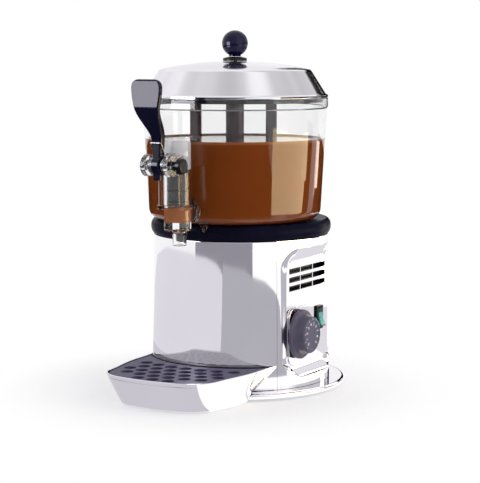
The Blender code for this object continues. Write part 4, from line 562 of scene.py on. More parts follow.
CLEAR = finish("clear_plastic", (0.985, 0.985, 0.985), 0.008, 0.03, 0.015, 30.0, 30.0, 0.00003,
               see_through(1.0))
SMOKE = finish("smoke_plastic", (0.02, 0.02, 0.025), 0.03, 0.04, 0.015, 30.0, 30.0, 0.00003,
               see_through(1.0))
# Painted reflection: a whitish, part-clear finish for the tap's upper bore, standing in for the bright
# reflections in the clear tube
BORE_SHEEN = finish("bore_sheen_plastic", (0.93, 0.93, 0.95), 0.03, 0.35, 0.10, 120.0, 500.0, 0.00003,
               see_through(0.30))
DRINK = finish("hot_chocolate", (0.285, 0.070, 0.0135), 0.06, 0.40, 0.06, 22.0, 60.0, 0.00004, specular(0.0))
# Painted light: a lighter copy of the drink for the tap's chamber, standing in for the chamber being brighter
# lit
DRINK_LIT_COPY = finish("lit_hot_chocolate", (0.46, 0.185, 0.085), 0.08, 0.40, 0.06, 40.0, 60.0, 0.00004,
                    specular(0.0))
# Painted highlight: a lighter brown for the band where the drink's meniscus meets the wall, standing in for
# the light it catches
DRINK_MENISCUS_SHEEN = finish("hot_chocolate_meniscus_sheen", (0.40, 0.145, 0.058), 0.15, 0.40, 0.06, 90.0, 120.0, 0.00004,
                     specular(0.0))
# Painted sheen: the drink's top faces get a lighter brown for the bright reflection they catch, besides their
# real gloss
DRINK_TOP_SHEEN = finish("hot_chocolate_top_sheen", (0.300, 0.130, 0.055), 0.10, 0.10, 0.04, 60.0, 90.0, 0.00008)

FINISHES = {"chrome": CHROME, "steel": STEEL, "aluminium": ALUMINIUM, "brass": BRASS,
            "navy_plastic": NAVY, "black_plastic": BLACK, "grey_plastic": GREY, "teal_plastic": TEAL,
            "cream_plastic": CREAM, "clear_plastic": CLEAR, "rubber": RUBBER, "hot_chocolate": DRINK}


def dress_frame():
    """Give every CAD node the finish of its slot; most visible ones are replaced by finer pieces."""
    for row in frame["record"]["subparts"]:
        mesh = frame["nodes"][row["node"]].data
        mesh.materials.clear()
        mesh.materials.append(FINISHES[row["material_slot"]])


# Shells of the base and the column

def make_base():
    low = corner_low("base_plate").z
    disc = spun(rod(BASE_RADIUS, low, SHELL_LOW - GAP, 0.0015, 0.003, 8), AXIS, FINE)
    piece("base_disc", disc, CHROME, "chrome", "base", "base_plate")
    radius = (corner_high("foot_front_left") - corner_low("foot_front_left")).x / 2.0
    for name in ("foot_front_left", "foot_front_right", "foot_rear_left", "foot_rear_right"):
        foot = spun(rod(radius, 0.0, low - GAP, 0.0009, 0.0004), middle(name).xy, SMALL)
        piece("rubber_" + name, foot, RUBBER, "rubber", "base", name)


def make_front_cover():
    edge = 0.0008
    profile = eased([(COLUMN_LOW_RADIUS, SHELL_LOW, edge), (COLUMN_TOP_RADIUS, SHELL_TOP, edge),
                     (COLUMN_TOP_RADIUS - SHELL_WALL, SHELL_TOP, edge),
                     (COLUMN_LOW_RADIUS - SHELL_WALL, SHELL_LOW, edge)], 3)
    shell = spun(profile, AXIS, ROUND, -QUARTER - SEAM_ANGLE, 2.0 * SEAM_ANGLE)
    piece("chrome_front", shell, CHROME, "chrome", "base", "front_cover")


def panel_outline(steps, grow=0.0):
    """Outer edge of the dished panel, as points in (Y, Z) from the column's axis."""
    half = PANEL_HALF_WIDTH + PANEL_SIDE_RIM + grow
    return rounded(-half, half, PANEL_LOW - PANEL_LOW_RIM - grow, PANEL_HIGH + PANEL_TOP_RIM + grow,
                   PANEL_CORNER + PANEL_SIDE_RIM + grow, steps)


def make_rear_housing():
    """The column's back and sides, with the panel's window, bent from a flat sheet."""
    start = -QUARTER + SEAM_ANGLE + GAP / COLUMN_LOW_RADIUS
    sweep = 2.0 * (math.pi - SEAM_ANGLE - GAP / COLUMN_LOW_RADIUS)
    sheet = bmesh.new()
    bmesh.ops.create_grid(sheet, x_segments=150, y_segments=40, size=0.5)
    for vert in sheet.verts:
        angle = start + sweep * (vert.co.x + 0.5)
        vert.co = (angle, SHELL_LOW + (SHELL_TOP - SHELL_LOW) * (vert.co.y + 0.5), 0.0)
    bmesh.ops.recalc_face_normals(sheet, faces=sheet.faces)
    cut_window(sheet, [Vector((math.asin(y / column_radius(z)), z)) for y, z in panel_outline(10, GAP)])
    for vert in sheet.verts:
        angle, z = vert.co.x, vert.co.y
        radius = column_radius(z)
        vert.co = (radius * math.cos(angle), radius * math.sin(angle), z)
    bmesh.ops.remove_doubles(sheet, verts=sheet.verts, dist=MERGE)
    bmesh.ops.recalc_face_normals(sheet, faces=sheet.faces)
    outward = sum(face.normal.dot(face.calc_center_median()) for face in sheet.faces)
    if outward < 0.0:
        bmesh.ops.reverse_faces(sheet, faces=sheet.faces)
    bmesh.ops.solidify(sheet, geom=sheet.faces[:], thickness=SHELL_WALL)
    bmesh.ops.recalc_face_normals(sheet, faces=sheet.faces)
    piece("chrome_rear", moved_to_axis(sheet), CHROME, "chrome", "base", "rear_housing")


def cut_window(sheet, outline):
    """Cut a flat sheet along an outline and drop the part inside it."""
    runs = list(zip(outline, outline[1:] + outline[:1]))
    centre = sum(outline, Vector((0.0, 0.0))) / len(outline)
    for first, second in runs:
        along = second - first
        normal = Vector((-along.y, along.x))
        near = [face for face in sheet.faces
                if (face.calc_center_median().xy - centre).length < 1.3 * (first - centre).length]
        geom = set(near)
        for face in near:
            geom.update(face.edges)
            geom.update(face.verts)
        bmesh.ops.bisect_plane(sheet, geom=list(geom), plane_co=(*first, 0.0), plane_no=(*normal, 0.0),
                               dist=0.0000001)
    inner = []
    for face in sheet.faces:
        point = face.calc_center_median().xy
        sides = [(second - first).cross(point - first) > 0.0 for first, second in runs]
        if all(sides) or not any(sides):
            inner.append(face)
    bmesh.ops.delete(sheet, geom=inner, context="FACES")


def make_control_panel():
    """The sunk flat with its vents, and a soft rim that rises to the column's own curve."""
    steps = 12
    inner = rounded(-PANEL_HALF_WIDTH, PANEL_HALF_WIDTH, PANEL_LOW, PANEL_HIGH, PANEL_CORNER, steps)
    rim = [Vector((math.sqrt(column_radius(z) ** 2 - y * y), y, z)) for y, z in panel_outline(steps)]
    flat = [Vector((PANEL_PLANE, y, z)) for y, z in inner]
    rings = []
    for share in (0.0, 0.06, 0.14, 0.3, 0.5, 0.7, 0.86, 0.95, 1.0):
        ring = []
        for low, high in zip(flat, rim):
            point = low.lerp(high, share)
            point.x = low.x + (high.x - low.x) * (0.5 * smooth_step(share) + 0.5 * share)
            ring.append(point)
        rings.append(ring)
    sheet = Vector((PANEL_SHEET, 0.0, 0.0))
    panel = bridged(rings + [[point - sheet for point in ring] for ring in reversed(rings)])
    back = PANEL_PLANE - 2.0 * PANEL_SHEET
    front = PANEL_PLANE + PANEL_SHEET
    bay = (2.0 * VENT_HALF - (VENT_BAYS - 1) * VENT_RIB) / VENT_BAYS
    for row in range(VENT_ROWS):
        top = VENT_TOP - VENT_PITCH * row
        sunk = rounded(-VENT_HALF, VENT_HALF, top - VENT_HEIGHT, top, VENT_CORNER)
        panel = cut(panel, slab(sunk, PANEL_PLANE - VENT_SINK, front, "X"))
        for column in range(VENT_BAYS):
            left = -VENT_HALF + column * (bay + VENT_RIB)
            panel = cut(panel, slab(rounded(left, left + bay, top - VENT_HEIGHT, top, VENT_CORNER),
                                    back, front, "X"))
    panel = cut(panel, switch_opening(back, front))
    piece("chrome_panel", moved_to_axis(panel), CHROME, "chrome", "base", "control_panel")
    # Painted shade: a black sheet behind the vents stands in for the dark inside of the column
    shade_sheet_half = VENT_HALF + 0.002
    dark = slab(rounded(-shade_sheet_half, shade_sheet_half, PANEL_HIGH - 0.038, PANEL_HIGH - 0.006, 0.003),
                PANEL_PLANE - 0.010, PANEL_PLANE - 0.009, "X")
    piece("vent_shade_sheet", moved_to_axis(dark), BLACK, "black_plastic", "base")
    plate = slab(rounded(-PLATE_HALF_WIDTH, PLATE_HALF_WIDTH, PLATE_LOW, PLATE_HIGH, PLATE_CORNER, 10),
                 PANEL_PLANE + GAP, PLATE_FACE, "X", 0.0005)
    plate = cut(plate, switch_opening(PANEL_PLANE - PANEL_SHEET, PLATE_FACE + PANEL_SHEET))
    piece("chrome_control_plate", moved_to_axis(plate), CHROME, "chrome", "base", "control_plate")


def switch_opening(low, high):
    frame_low = corner_low("switch_frame")
    frame_high = corner_high("switch_frame")
    edge = 0.0007
    return slab(rounded(frame_low.y - AXIS.y + edge, frame_high.y - AXIS.y - edge,
                        frame_low.z + edge, frame_high.z - edge, edge), low, high, "X")


# Controls

def make_dial():
    low = corner_low("thermostat_knob")
    high = corner_high("thermostat_knob")
    place = Vector((low.x, middle("thermostat_knob").y, middle("thermostat_knob").z))
    depth = high.x - low.x
    skirt = (high.z - low.z) / 2.0
    recess = 0.0006
    profile = eased([(0.0, 0.0), (skirt, 0.0, 0.0006), (skirt, 0.0042, 0.0016), (0.0236, 0.0046, 0.0008),
                     (0.0222, 0.0070, 0.0010), (0.0204, depth, 0.0032), (0.0165, depth, 0.0006),
                     (0.0158, depth - recess, 0.0004), (0.0, depth - recess)], 5)
    piece("dial", turned(profile, place, "X", FINE), GREY, "grey_plastic", "dial", "thermostat_knob")
    for index in range(11):
        mark = slab(rounded(-0.0003, 0.0003, -0.0010, 0.0010, 0.0002, 2), 0.0, 0.00008)
        set_on_dial(mark, Vector((high.x, *place.yz)), 225.0 - 27.0 * index, 0.0183)
        piece("dial_tick_%02d" % index, mark, WHITE, "grey_plastic", "dial")
    raised = 0.00006
    for index in range(10):
        curve = bpy.data.curves.new("numeral_%d" % index, "FONT")
        curve.body = str(index)
        curve.size = 0.0052
        curve.extrude = raised
        curve.align_x = "CENTER"
        curve.align_y = "CENTER"
        numeral = meshed(curve)
        set_on_dial(numeral, Vector((high.x - recess + raised, *place.yz)), 225.0 - 30.0 * index, 0.0126)
        piece("dial_numeral_%d" % index, numeral, WHITE, "grey_plastic", "dial")


def set_on_dial(bm, centre, degrees, radius):
    """Face a flat mark along X and set it out from the dial's middle, its foot towards the middle."""
    angle = math.radians(degrees)
    spoke = Vector((0.0, math.cos(angle), math.sin(angle)))
    turn = Matrix.Rotation(QUARTER, 4, "Z") @ Matrix.Rotation(QUARTER, 4, "X")
    spin = Matrix.Rotation(angle - QUARTER, 4, "X")
    bmesh.ops.transform(bm, verts=bm.verts, matrix=Matrix.Translation(centre + spoke * radius) @ spin @ turn)


def make_switch():
    low = corner_low("switch_frame")
    high = corner_high("switch_frame")
    seat = PLATE_FACE + GAP
    rocker = middle("switch_rocker")
    body_edge = 0.001
    bezel = slab(rounded(low.y, high.y, low.z, high.z, 0.0014, 5), seat, high.x, "X", 0.0005)
    body = slab(rounded(low.y + body_edge, high.y - body_edge, low.z + body_edge, high.z - body_edge, 0.0006),
                low.x, seat + 0.001, "X")
    pocket = slab(rounded(rocker.y - 0.0054, rocker.y + 0.0054, rocker.z - 0.0120, rocker.z + 0.0120, 0.0006),
                  seat - 0.0063, high.x + 0.004, "X")
    piece("switch_bezel", cut(fused(bezel, body), pocket), BLACK, "grey_plastic", "base", "switch_frame")
    pivot = Vector((seat + 0.0012, rocker.y, (low.z + high.z) / 2.0))
    half = 0.0108
    dish = [(0.0022 + 0.0020 * share * share, half * share)
            for share in [step / 6.0 - 1.0 for step in range(13)]]
    side = dish + [(-0.0023, half), (-0.0045, half / 3.0), (-0.0045, -half / 3.0), (-0.0023, -half)]
    paddle = set_at(slab(side, -0.0048, 0.0048, "Y", 0.0004), pivot, -math.radians(11), "Y")
    paddle = piece("switch_paddle", paddle, TEAL, "teal_plastic", "rocker", "switch_rocker")
    repaint(paddle, [BLACK], lambda face: int(not -0.0078 <= face.center.z - pivot.z <= 0.0052))


# Collar, gasket and gland

def make_collar():
    bulge = 0.0055
    half = (DECK_TOP - COLLAR_LOW) / 2.0
    lip = COLUMN_TOP_RADIUS - SHELL_WALL - GAP
    lip_wall = 0.0025
    bead = [(COLLAR_RADIUS - bulge + bulge * math.cos(angle), COLLAR_LOW + half + half * math.sin(angle))
            for angle in [math.radians(-90 + 7.5 * index) for index in range(25)]]
    profile = [(0.0, DECK_TOP - COLLAR_SKIRT), (lip - lip_wall, DECK_TOP - COLLAR_SKIRT),
               (lip - lip_wall, COLLAR_LOW - COLLAR_SKIRT), (lip, COLLAR_LOW - COLLAR_SKIRT),
               (lip, COLLAR_LOW)] + bead + [(0.0, DECK_TOP)]
    plate = COLUMN_TOP_RADIUS - 0.0312
    inner = plate + 0.0035
    outer = plate + 0.0085
    hole = spun(rod(plate + GAP, DECK_TOP - 0.02, DECK_TOP + 0.01), BOWL_AXIS, FINE)
    groove = spun(rounded(inner - GAP, outer + GAP, DECK_TOP - 0.0015, DECK_TOP + 0.01), BOWL_AXIS, FINE)
    collar = cut(spun(profile, AXIS, FINE), hole, groove)
    piece("navy_collar", collar, COLLAR, "navy_plastic", "base", "collar")
    low = corner_low("bowl_gasket").z
    high = corner_high("bowl_gasket").z
    ring = eased([(inner, low, 0.0004), (outer, low, 0.0004), (outer, high, 0.0008),
                  (inner, high, 0.0008)], 4)
    piece("deck_gasket", spun(ring, BOWL_AXIS, FINE), RUBBER, "rubber", "base", "bowl_gasket")
    gland = middle("cable_gland")
    outside = column_radius(gland.z) + AXIS.y + GAP
    profile = eased([(0.0042, -0.009), (0.0078, -0.009), (0.0078, 0.0), (0.011, 0.0, 0.0004),
                     (0.011, 0.006, 0.0018), (0.0042, 0.006, 0.0008)], 4)
    piece("inlet_gland", turned(profile, (gland.x, outside, gland.z), "Y"), BLACK, "black_plastic", "base",
          "cable_gland")


# Bowl, drink and mixer

def bowl_inner(offset):
    """Inner wall of the bowl from its rim down to its floor, moved inwards by an offset."""
    foot = BOWL_FOOT_RADIUS - BOWL_WALL - offset
    corner = 0.009 - offset
    points = [(BOWL_RIM_RADIUS - BOWL_WALL - offset, RIM_LOW)]
    return points + arc((foot - corner, BOWL_FLOOR_TOP + offset + corner), corner, 0.0, -QUARTER, 10)


def make_bowl():
    rim = BOWL_RIM_RADIUS + RIM_PROUD
    mouth = BOWL_RIM_RADIUS - BOWL_WALL
    profile = [(UPSTAND_BORE, BOWL_LOW)]
    profile += arc((BOWL_FOOT_RADIUS - BOWL_CORNER, BOWL_LOW + BOWL_CORNER), BOWL_CORNER, -QUARTER, 0.0, 12)
    profile += eased([(BOWL_RIM_RADIUS, RIM_LOW), (rim, RIM_LOW + RIM_PROUD, 0.0008), (rim, BOWL_TOP, 0.0009),
                      (mouth, BOWL_TOP, 0.0006), (mouth, RIM_LOW)], 4)[:-1]
    profile += bowl_inner(0.0)
    profile += eased([(UPSTAND_RADIUS + 0.01, BOWL_FLOOR_TOP), (UPSTAND_RADIUS, BOWL_FLOOR_TOP, 0.002),
                      (UPSTAND_RADIUS, UPSTAND_TOP, 0.0006), (UPSTAND_BORE, UPSTAND_TOP)], 4)[1:]
    bowl = spun(profile, BOWL_AXIS, FINE)
    wall_y = BOWL_AXIS.y - BOWL_FOOT_RADIUS
    bowl = fused(bowl, turned(rod(BOSS_RADIUS, BOSS_FACE, wall_y + 0.0017, 0.0006), OUTLET, "Y", ROUND))
    catch_back = AXIS.y - COLLAR_RADIUS - GAP
    catch_top = BOWL_LOW + 0.0045
    for x in (-0.0145, 0.0145):
        outline = eased([(x - 0.0065, catch_top), (x, BOWL_LOW - 0.0105, 0.0010), (x + 0.0065, catch_top)], 4)
        bowl = fused(bowl, slab(outline, catch_back - 0.0032, catch_back, "Y", 0.0003))
    hole = turned(rod(SPIGOT_RADIUS + GAP, BOSS_FACE - 0.01, wall_y + 0.02), OUTLET, "Y", ROUND)
    piece("clear_bowl", cut(bowl, hole), CLEAR, "clear_plastic", "bowl", "bowl")


def make_drink():
    """Chocolate that wets the bowl's wall and turns with the mixer, and a little in the tap's chamber."""
    wet = 0.0001
    crest = DRINK_LEVEL + 0.0016
    slope = (BOWL_RIM_RADIUS - BOWL_FOOT_RADIUS) / (RIM_LOW - BOWL_LOW - BOWL_CORNER)
    radius = BOWL_FOOT_RADIUS - BOWL_WALL + wet + slope * (DRINK_LEVEL - BOWL_LOW - BOWL_CORNER)
    inner = UPSTAND_RADIUS + 0.0014
    profile = [(inner, DRINK_LEVEL - 0.0002), (radius - 0.006, DRINK_LEVEL - 0.0002),
               (radius - 0.0015, DRINK_LEVEL + 0.0003), (radius, crest),
               (radius - slope * MENISCUS_BAND, crest - MENISCUS_BAND)]
    profile += bowl_inner(-wet)[1:] + [(inner, BOWL_FLOOR_TOP - wet)]
    drink = piece("chocolate_in_bowl", spun(profile, BOWL_AXIS, FINE), DRINK, "hot_chocolate", "mixer",
                  "hot_chocolate")
    # Painted highlight: faces in the band at the top of the wall get the lighter meniscus brown
    meniscus_low = DRINK_LEVEL + 0.0012 - MENISCUS_BAND
    # Painted sheen: faces that look upwards get the lighter top brown
    repaint(drink, [DRINK_TOP_SHEEN, DRINK_MENISCUS_SHEEN],
            lambda face: 1 if face.normal.z > 0.5 else 2 if face.center.z > meniscus_low else 0)
    # The tap's chamber gets the lighter, painted-light copy of the drink
    chamber = spun(rod(TUBE_BORE + wet, TUBE_FLOOR - wet, TUBE_FLOOR + 0.0162), TAP_AXIS, SMALL)
    piece("chocolate_in_tap", chamber, DRINK_LIT_COPY, "hot_chocolate", "bowl")


def make_mixer():
    floor = BOWL_FLOOR_TOP + 0.0025
    under = UPSTAND_TOP + GAP
    cap_top = under + 0.028
    bore = UPSTAND_RADIUS + 0.0007
    outer = bore + 0.0013
    profile = [(0.0, under), (bore, under), (bore, floor)]
    profile += eased([(bore, floor), (outer, floor, 0.0004), (outer, cap_top, 0.0016), (0.0, cap_top)], 5)[1:]
    mixer = spun(profile)
    for side in (-1.0, 1.0):
        ends = sorted((side * (bore + 0.0006), side * 0.078))
        bar = slab(rounded(*ends, -0.006, 0.006, 0.0005), floor + GAP, floor + 0.008, "Z", 0.0004)
        centre = side * 0.070
        upright = slab(rounded(centre - 0.002, centre + 0.002, -0.0075, 0.0075, 0.0016, 5),
                       floor + 0.004, corner_high("mixer").z, "Z", 0.0008)
        mixer = fused(mixer, bar, upright)
    bmesh.ops.rotate(mixer, verts=mixer.verts, matrix=Matrix.Rotation(math.radians(82), 3, "Z"))
    piece("mixer_frame", moved_to_axis(mixer, BOWL_AXIS), MAROON, "grey_plastic", "mixer", "mixer")


# Tap

def pin_hole():
    return turned(rod(PIN_RADIUS + GAP, -0.03, 0.03), PIVOT, "X")


def make_tap():
    plinth = TUBE_FLOOR - 0.010
    spout_bore = 0.0055
    duct_bore = 0.0073
    tube = spun(rod(TUBE_RADIUS, plinth, TUBE_TOP, 0.0012, 0.0010), TAP_AXIS, ROUND)
    spout_y = TAP_AXIS.y + 0.004
    tip = BOWL_LOW - 0.0205
    shoulder = BOWL_LOW - 0.007
    rings = []
    for y, radius, z in ((spout_y, 0.0071, tip), (spout_y, 0.0076, tip + 0.0006), (spout_y, 0.0082, shoulder),
                         (spout_y - 0.0005, 0.0088, shoulder + 0.0012),
                         (spout_y - 0.0016, 0.0104, shoulder + 0.0024),
                         (TAP_AXIS.y, 0.0132, plinth + 0.0006)):
        rings.append([(*point, z) for point in circle((0.0, y), radius, ROUND)])
    flange = BOSS_FACE - TAP_GASKET - 2.0 * GAP
    spigot_end = BOWL_AXIS.y - BOWL_FOOT_RADIUS + BOWL_WALL
    duct = turned(rod(SPIGOT_RADIUS, TAP_AXIS.y + 0.0133, spigot_end), OUTLET, "Y", ROUND)
    disc = turned(rod(BOSS_RADIUS, flange - 0.0025, flange, 0.0006, steps=3), OUTLET, "Y", ROUND)
    shelf_low = BOWL_LOW + 0.0195
    shelf = slab(rounded(-0.0168, 0.0168, TAP_AXIS.y - 0.0185, flange - 0.00125, 0.0025, 5),
                 shelf_low, shelf_low + 0.005, "Z", 0.0006)
    tap = fused(tube, bridged(rings), duct, disc, shelf)
    root = TAP_AXIS.y - 0.17 * TUBE_RADIUS
    ear_half = 0.0085
    ear = [(root, PIVOT.z + ear_half)]
    ear += arc((PIVOT.y, PIVOT.z), 0.0118, math.radians(80), math.radians(280), 40)
    ear += [(root, PIVOT.z - ear_half)]
    for side in (-1.0, 1.0):
        web_sides = sorted((side * (EAR_INNER + 0.00075), side * (EAR_INNER + 0.003)))
        web = slab(rounded(TAP_AXIS.y - 0.017, TAP_AXIS.y - 0.0074, shelf_low + 0.0025, PIVOT.z, 0.0003, 2),
                   *web_sides, "X")
        ear_sides = sorted((side * EAR_INNER, side * (EAR_INNER + EAR_THICKNESS)))
        tap = fused(tap, web, slab(ear, *ear_sides, "X", 0.0008))
    tap = cut(tap, pin_hole(), spun(rod(TUBE_BORE, TUBE_FLOOR, TUBE_TOP + 0.01), TAP_AXIS, ROUND),
              spun(rod(spout_bore, tip - 0.01, TUBE_FLOOR + 0.003), (0.0, spout_y), SMALL),
              turned(rod(duct_bore, TAP_AXIS.y + 0.001, spigot_end + 0.01), OUTLET, "Y"),
              slab(rounded(-0.005, 0.005, TAP_AXIS.y - 0.0222, TAP_AXIS.y - 0.004),
                   BOWL_LOW + 0.0565, BOWL_LOW + 0.0815))
    # Painted reflection: the bore above this height is whitened to show the bright streaks the clear tube
    # mirrors
    bore_sheen_low = PIVOT.z - 0.006
    bmesh.ops.bisect_plane(tap, geom=tap.verts[:] + tap.edges[:] + tap.faces[:],
                           plane_co=(0.0, 0.0, bore_sheen_low), plane_no=(0.0, 0.0, 1.0))
    clear = piece("clear_tap", tap, CLEAR, "clear_plastic", "bowl", "tap_body")
    repaint(clear, [BORE_SHEEN], lambda face: int(from_axis(face, TAP_AXIS) < TUBE_BORE + GAP
                                             and face.center.z > bore_sheen_low))
    inner = SPIGOT_RADIUS + GAP
    gasket = eased([(inner, 0.0), (BOSS_RADIUS, 0.0, 0.0004), (BOSS_RADIUS, TAP_GASKET, 0.0004),
                    (inner, TAP_GASKET)], 3)
    gasket = turned(gasket, (0.0, flange + GAP, OUTLET.z), "Y", ROUND)
    piece("boss_gasket", gasket, SILICONE, "rubber", "bowl", "tap_gasket")


def make_pin():
    outside = EAR_INNER + EAR_THICKNESS + GAP
    head = outside + 0.007
    tail = corner_low("pivot_pin").x
    profile = eased([(0.0, tail), (PIN_RADIUS, tail, 0.0007), (PIN_RADIUS, outside), (0.005, outside, 0.0004),
                     (0.005, head, 0.0004), (0.0087, head, 0.0007), (0.0087, head + 0.0065, 0.0022),
                     (0.0, head + 0.0065)], 5)
    piece("tap_pin", turned(profile, PIVOT, "X"), BLACK, "black_plastic", "bowl", "pivot_pin")
    groove = PIN_RADIUS - 0.0007 + GAP / 2.0
    outer = groove + 0.003
    clip = spun(eased([(groove, 0.0), (outer, 0.0, 0.0002), (outer, 0.001, 0.0002), (groove, 0.001)], 2),
                steps=SMALL, start=math.radians(30), sweep=math.radians(300))
    set_at(clip, (corner_low("pin_clip").x, PIVOT.y, PIVOT.z), QUARTER, "Y")
    piece("spring_clip", clip, STEEL, "steel", "bowl", "pin_clip")


def within(value):
    return min(max(value, 0.0), 1.0)


def smooth_step(value):
    value = within(value)
    return value * value * (3.0 - 2.0 * value)


def lever_centre(rise):
    return -LEVER_FORWARD - CRANK_SHIFT * smooth_step((rise - CRANK_LOW) / CRANK_RISE)


def lever_half_width(rise):
    neck = NECK_HALF + NECK_GROWTH * within(rise / CRANK_LOW)
    flare = within((rise - CRANK_LOW) / FLARE_RISE)
    width = neck + FLARE_GROWTH * smooth_step(flare ** 0.85)
    over = max(rise - TIP_LOW, 0.0) / TIP_CORNER
    return width - TIP_CORNER * (1.0 - math.sqrt(max(1.0 - over * over, 0.0)))


def lever_half_thickness(rise):
    step = 0.0005
    slope = (lever_centre(rise + step) - lever_centre(rise - step)) / (2.0 * step)
    thick = ROOT_HALF - THINNING * smooth_step((rise - CRANK_LOW) / CRANK_RISE)
    over = max(rise - EDGE_LOW, 0.0) / EDGE_LENGTH
    return thick * math.sqrt(1.0 + slope * slope) * math.sqrt(max(1.0 - over * over, 0.04))


def make_lever():
    rings = []
    rises = [-0.0155, -0.008, 0.0, 0.009, 0.018, CRANK_LOW]
    rises += [CRANK_LOW + HANDLE_LENGTH * math.sin(QUARTER * index / 44) for index in range(1, 45)]
    for rise in rises:
        half = lever_half_width(rise)
        thick = lever_half_thickness(rise)
        outline = rounded(-half, half, -thick, thick, 0.9 * min(0.0022, half, thick), 6)
        rings.append([(a, PIVOT.y + lever_centre(rise) + b, PIVOT.z + rise) for a, b in outline])
    hub = turned(rod(0.0108, -HUB_HALF, HUB_HALF, 0.0010, 0.0010), PIVOT, "X", ROUND)
    end = EAR_INNER - GAP
    barrel = turned(rod(0.0062, -end, end), PIVOT, "X")
    thin = 0.0016
    arm = slab([(0.0, -0.0044), (0.0252, -thin), (ARM_LENGTH, -thin), (ARM_LENGTH, thin), (0.0252, thin),
                (0.0, 0.0044)], -ARM_HALF_WIDTH, ARM_HALF_WIDTH, "X", 0.0004)
    set_at(arm, PIVOT, -ARM_ANGLE, "X")
    tip = PIVOT + ARM_LENGTH * Vector((0.0, math.cos(ARM_ANGLE), -math.sin(ARM_ANGLE)))
    nose = turned(rod(0.0045, -ARM_HALF_WIDTH, ARM_HALF_WIDTH), tip, "X")
    lever = cut(fused(bridged(rings), hub, barrel, arm, nose), pin_hole())
    piece("navy_lever", lever, NAVY, "navy_plastic", "lever", "tap_lever")


def bent(before, corner, after, share):
    """A point on the curve that cuts the corner between two points."""
    return before.lerp(corner, share).lerp(corner.lerp(after, share), share)


def make_spring():
    """Double torsion spring: a bail over the lever, two coils on the pin and two legs on the tap."""
    wire = 0.0012
    coil = 0.0076
    bail = 0.0245
    front = lever_centre(bail) - lever_half_thickness(bail) - GAP - wire / 2.0
    half = lever_half_width(bail) + GAP + wire / 2.0
    start = math.atan2(bail, front) - math.acos(coil / math.hypot(front, bail))
    turn = start - QUARTER + 6.0 * math.pi
    first = HUB_HALF + GAP + wire / 2.0
    corner = Vector((half, front, bail))
    arm = (Vector((first, coil * math.cos(start), coil * math.sin(start))) - corner).normalized()
    bend = 1.6 * wire
    before = corner - Vector((bend, 0.0, 0.0))
    after = corner + arm * bend
    turning = [Vector((0.0, front, bail)), before]
    turning += [bent(before, corner, after, share) for share in (0.25, 0.5, 0.75)] + [after]
    steps = 96
    closed = 5
    advance = 0.00174 * turn / FULL
    for index in range(steps + 1):
        angle = start - turn * index / steps
        x = first + advance * min(index / (steps - closed), 1.0)
        turning.append(Vector((x, coil * math.cos(angle), coil * math.sin(angle))))
    last = turning[-1]
    end = PIVOT_REACH - math.sqrt(max(TUBE_RADIUS ** 2 - last.x ** 2, 0.0)) - 0.001
    leg = turning[-1 - closed:] + [Vector((last.x, end / 2.0, last.z)), Vector((last.x, end, last.z))]
    piece("torsion_spring", wire_tube(mirrored(reversed(turning[1:])) + turning, wire / 2.0), STEEL, "steel",
          "lever", "lever_spring", sharp=60.0)
    for name, points in (("spring_leg_right", leg), ("spring_leg_left", mirrored(leg))):
        piece(name, wire_tube(points, 0.545 * wire), STEEL, "steel", "bowl", "lever_spring", sharp=60.0)


def wire_tube(points, radius):
    """A round wire along points that are given from the pin's middle."""
    curve = bpy.data.curves.new("spring_wire", "CURVE")
    curve.dimensions = "3D"
    curve.bevel_depth = radius
    curve.bevel_resolution = 3
    curve.use_fill_caps = True
    spline = curve.splines.new("POLY")
    spline.points.add(len(points) - 1)
    for target, point in zip(spline.points, points):
        target.co = (*(PIVOT + point), 1.0)
    return meshed(curve)


def make_piston():
    arm_z = PIVOT.z - ARM_LENGTH * math.sin(ARM_ANGLE)
    radius = TUBE_BORE - GAP
    foot = BOWL_LOW + 0.024
    stem = 0.004
    stem_low = TUBE_FLOOR + 2.0 * GAP + 0.004
    ring_circle = TUBE_BORE - 0.00015 - ORING_RADIUS
    groove = ring_circle - ORING_RADIUS - GAP
    half = ORING_RADIUS + GAP
    profile = [(0.0, stem_low), (stem, stem_low), (stem, foot), (radius, foot)]
    for offset in ORING_OFFSETS.values():
        level = foot + offset
        profile += [(radius, level - half), (groove, level - half),
                    (groove, level + half), (radius, level + half)]
    slot_half = 0.0048
    top = arm_z + slot_half + 0.005
    profile += eased([(radius, level), (radius, top, 0.0010), (0.0, top)], 4)[1:]
    slot = slab(rounded(-0.005, 0.005, PIVOT.y, TAP_AXIS.y + slot_half), arm_z - slot_half, arm_z + slot_half)
    piston = cut(spun(profile, TAP_AXIS, ROUND), slot)
    piece("clear_piston", piston, SMOKE, "clear_plastic", "piston", "tap_piston")
    for name, offset in ORING_OFFSETS.items():
        oring = spun(circle((ring_circle, foot + offset), ORING_RADIUS, 12), TAP_AXIS, ROUND)
        piece("rubber_" + name, oring, RUBBER, "rubber", "piston", name)
    low = TUBE_FLOOR + GAP
    seal = spun(rod(0.0103, low, low + 0.004, 0.001, 0.0006), TAP_AXIS, SMALL)
    piece("foot_seal", seal, RUBBER, "rubber", "piston", "piston_seal")


# Lid

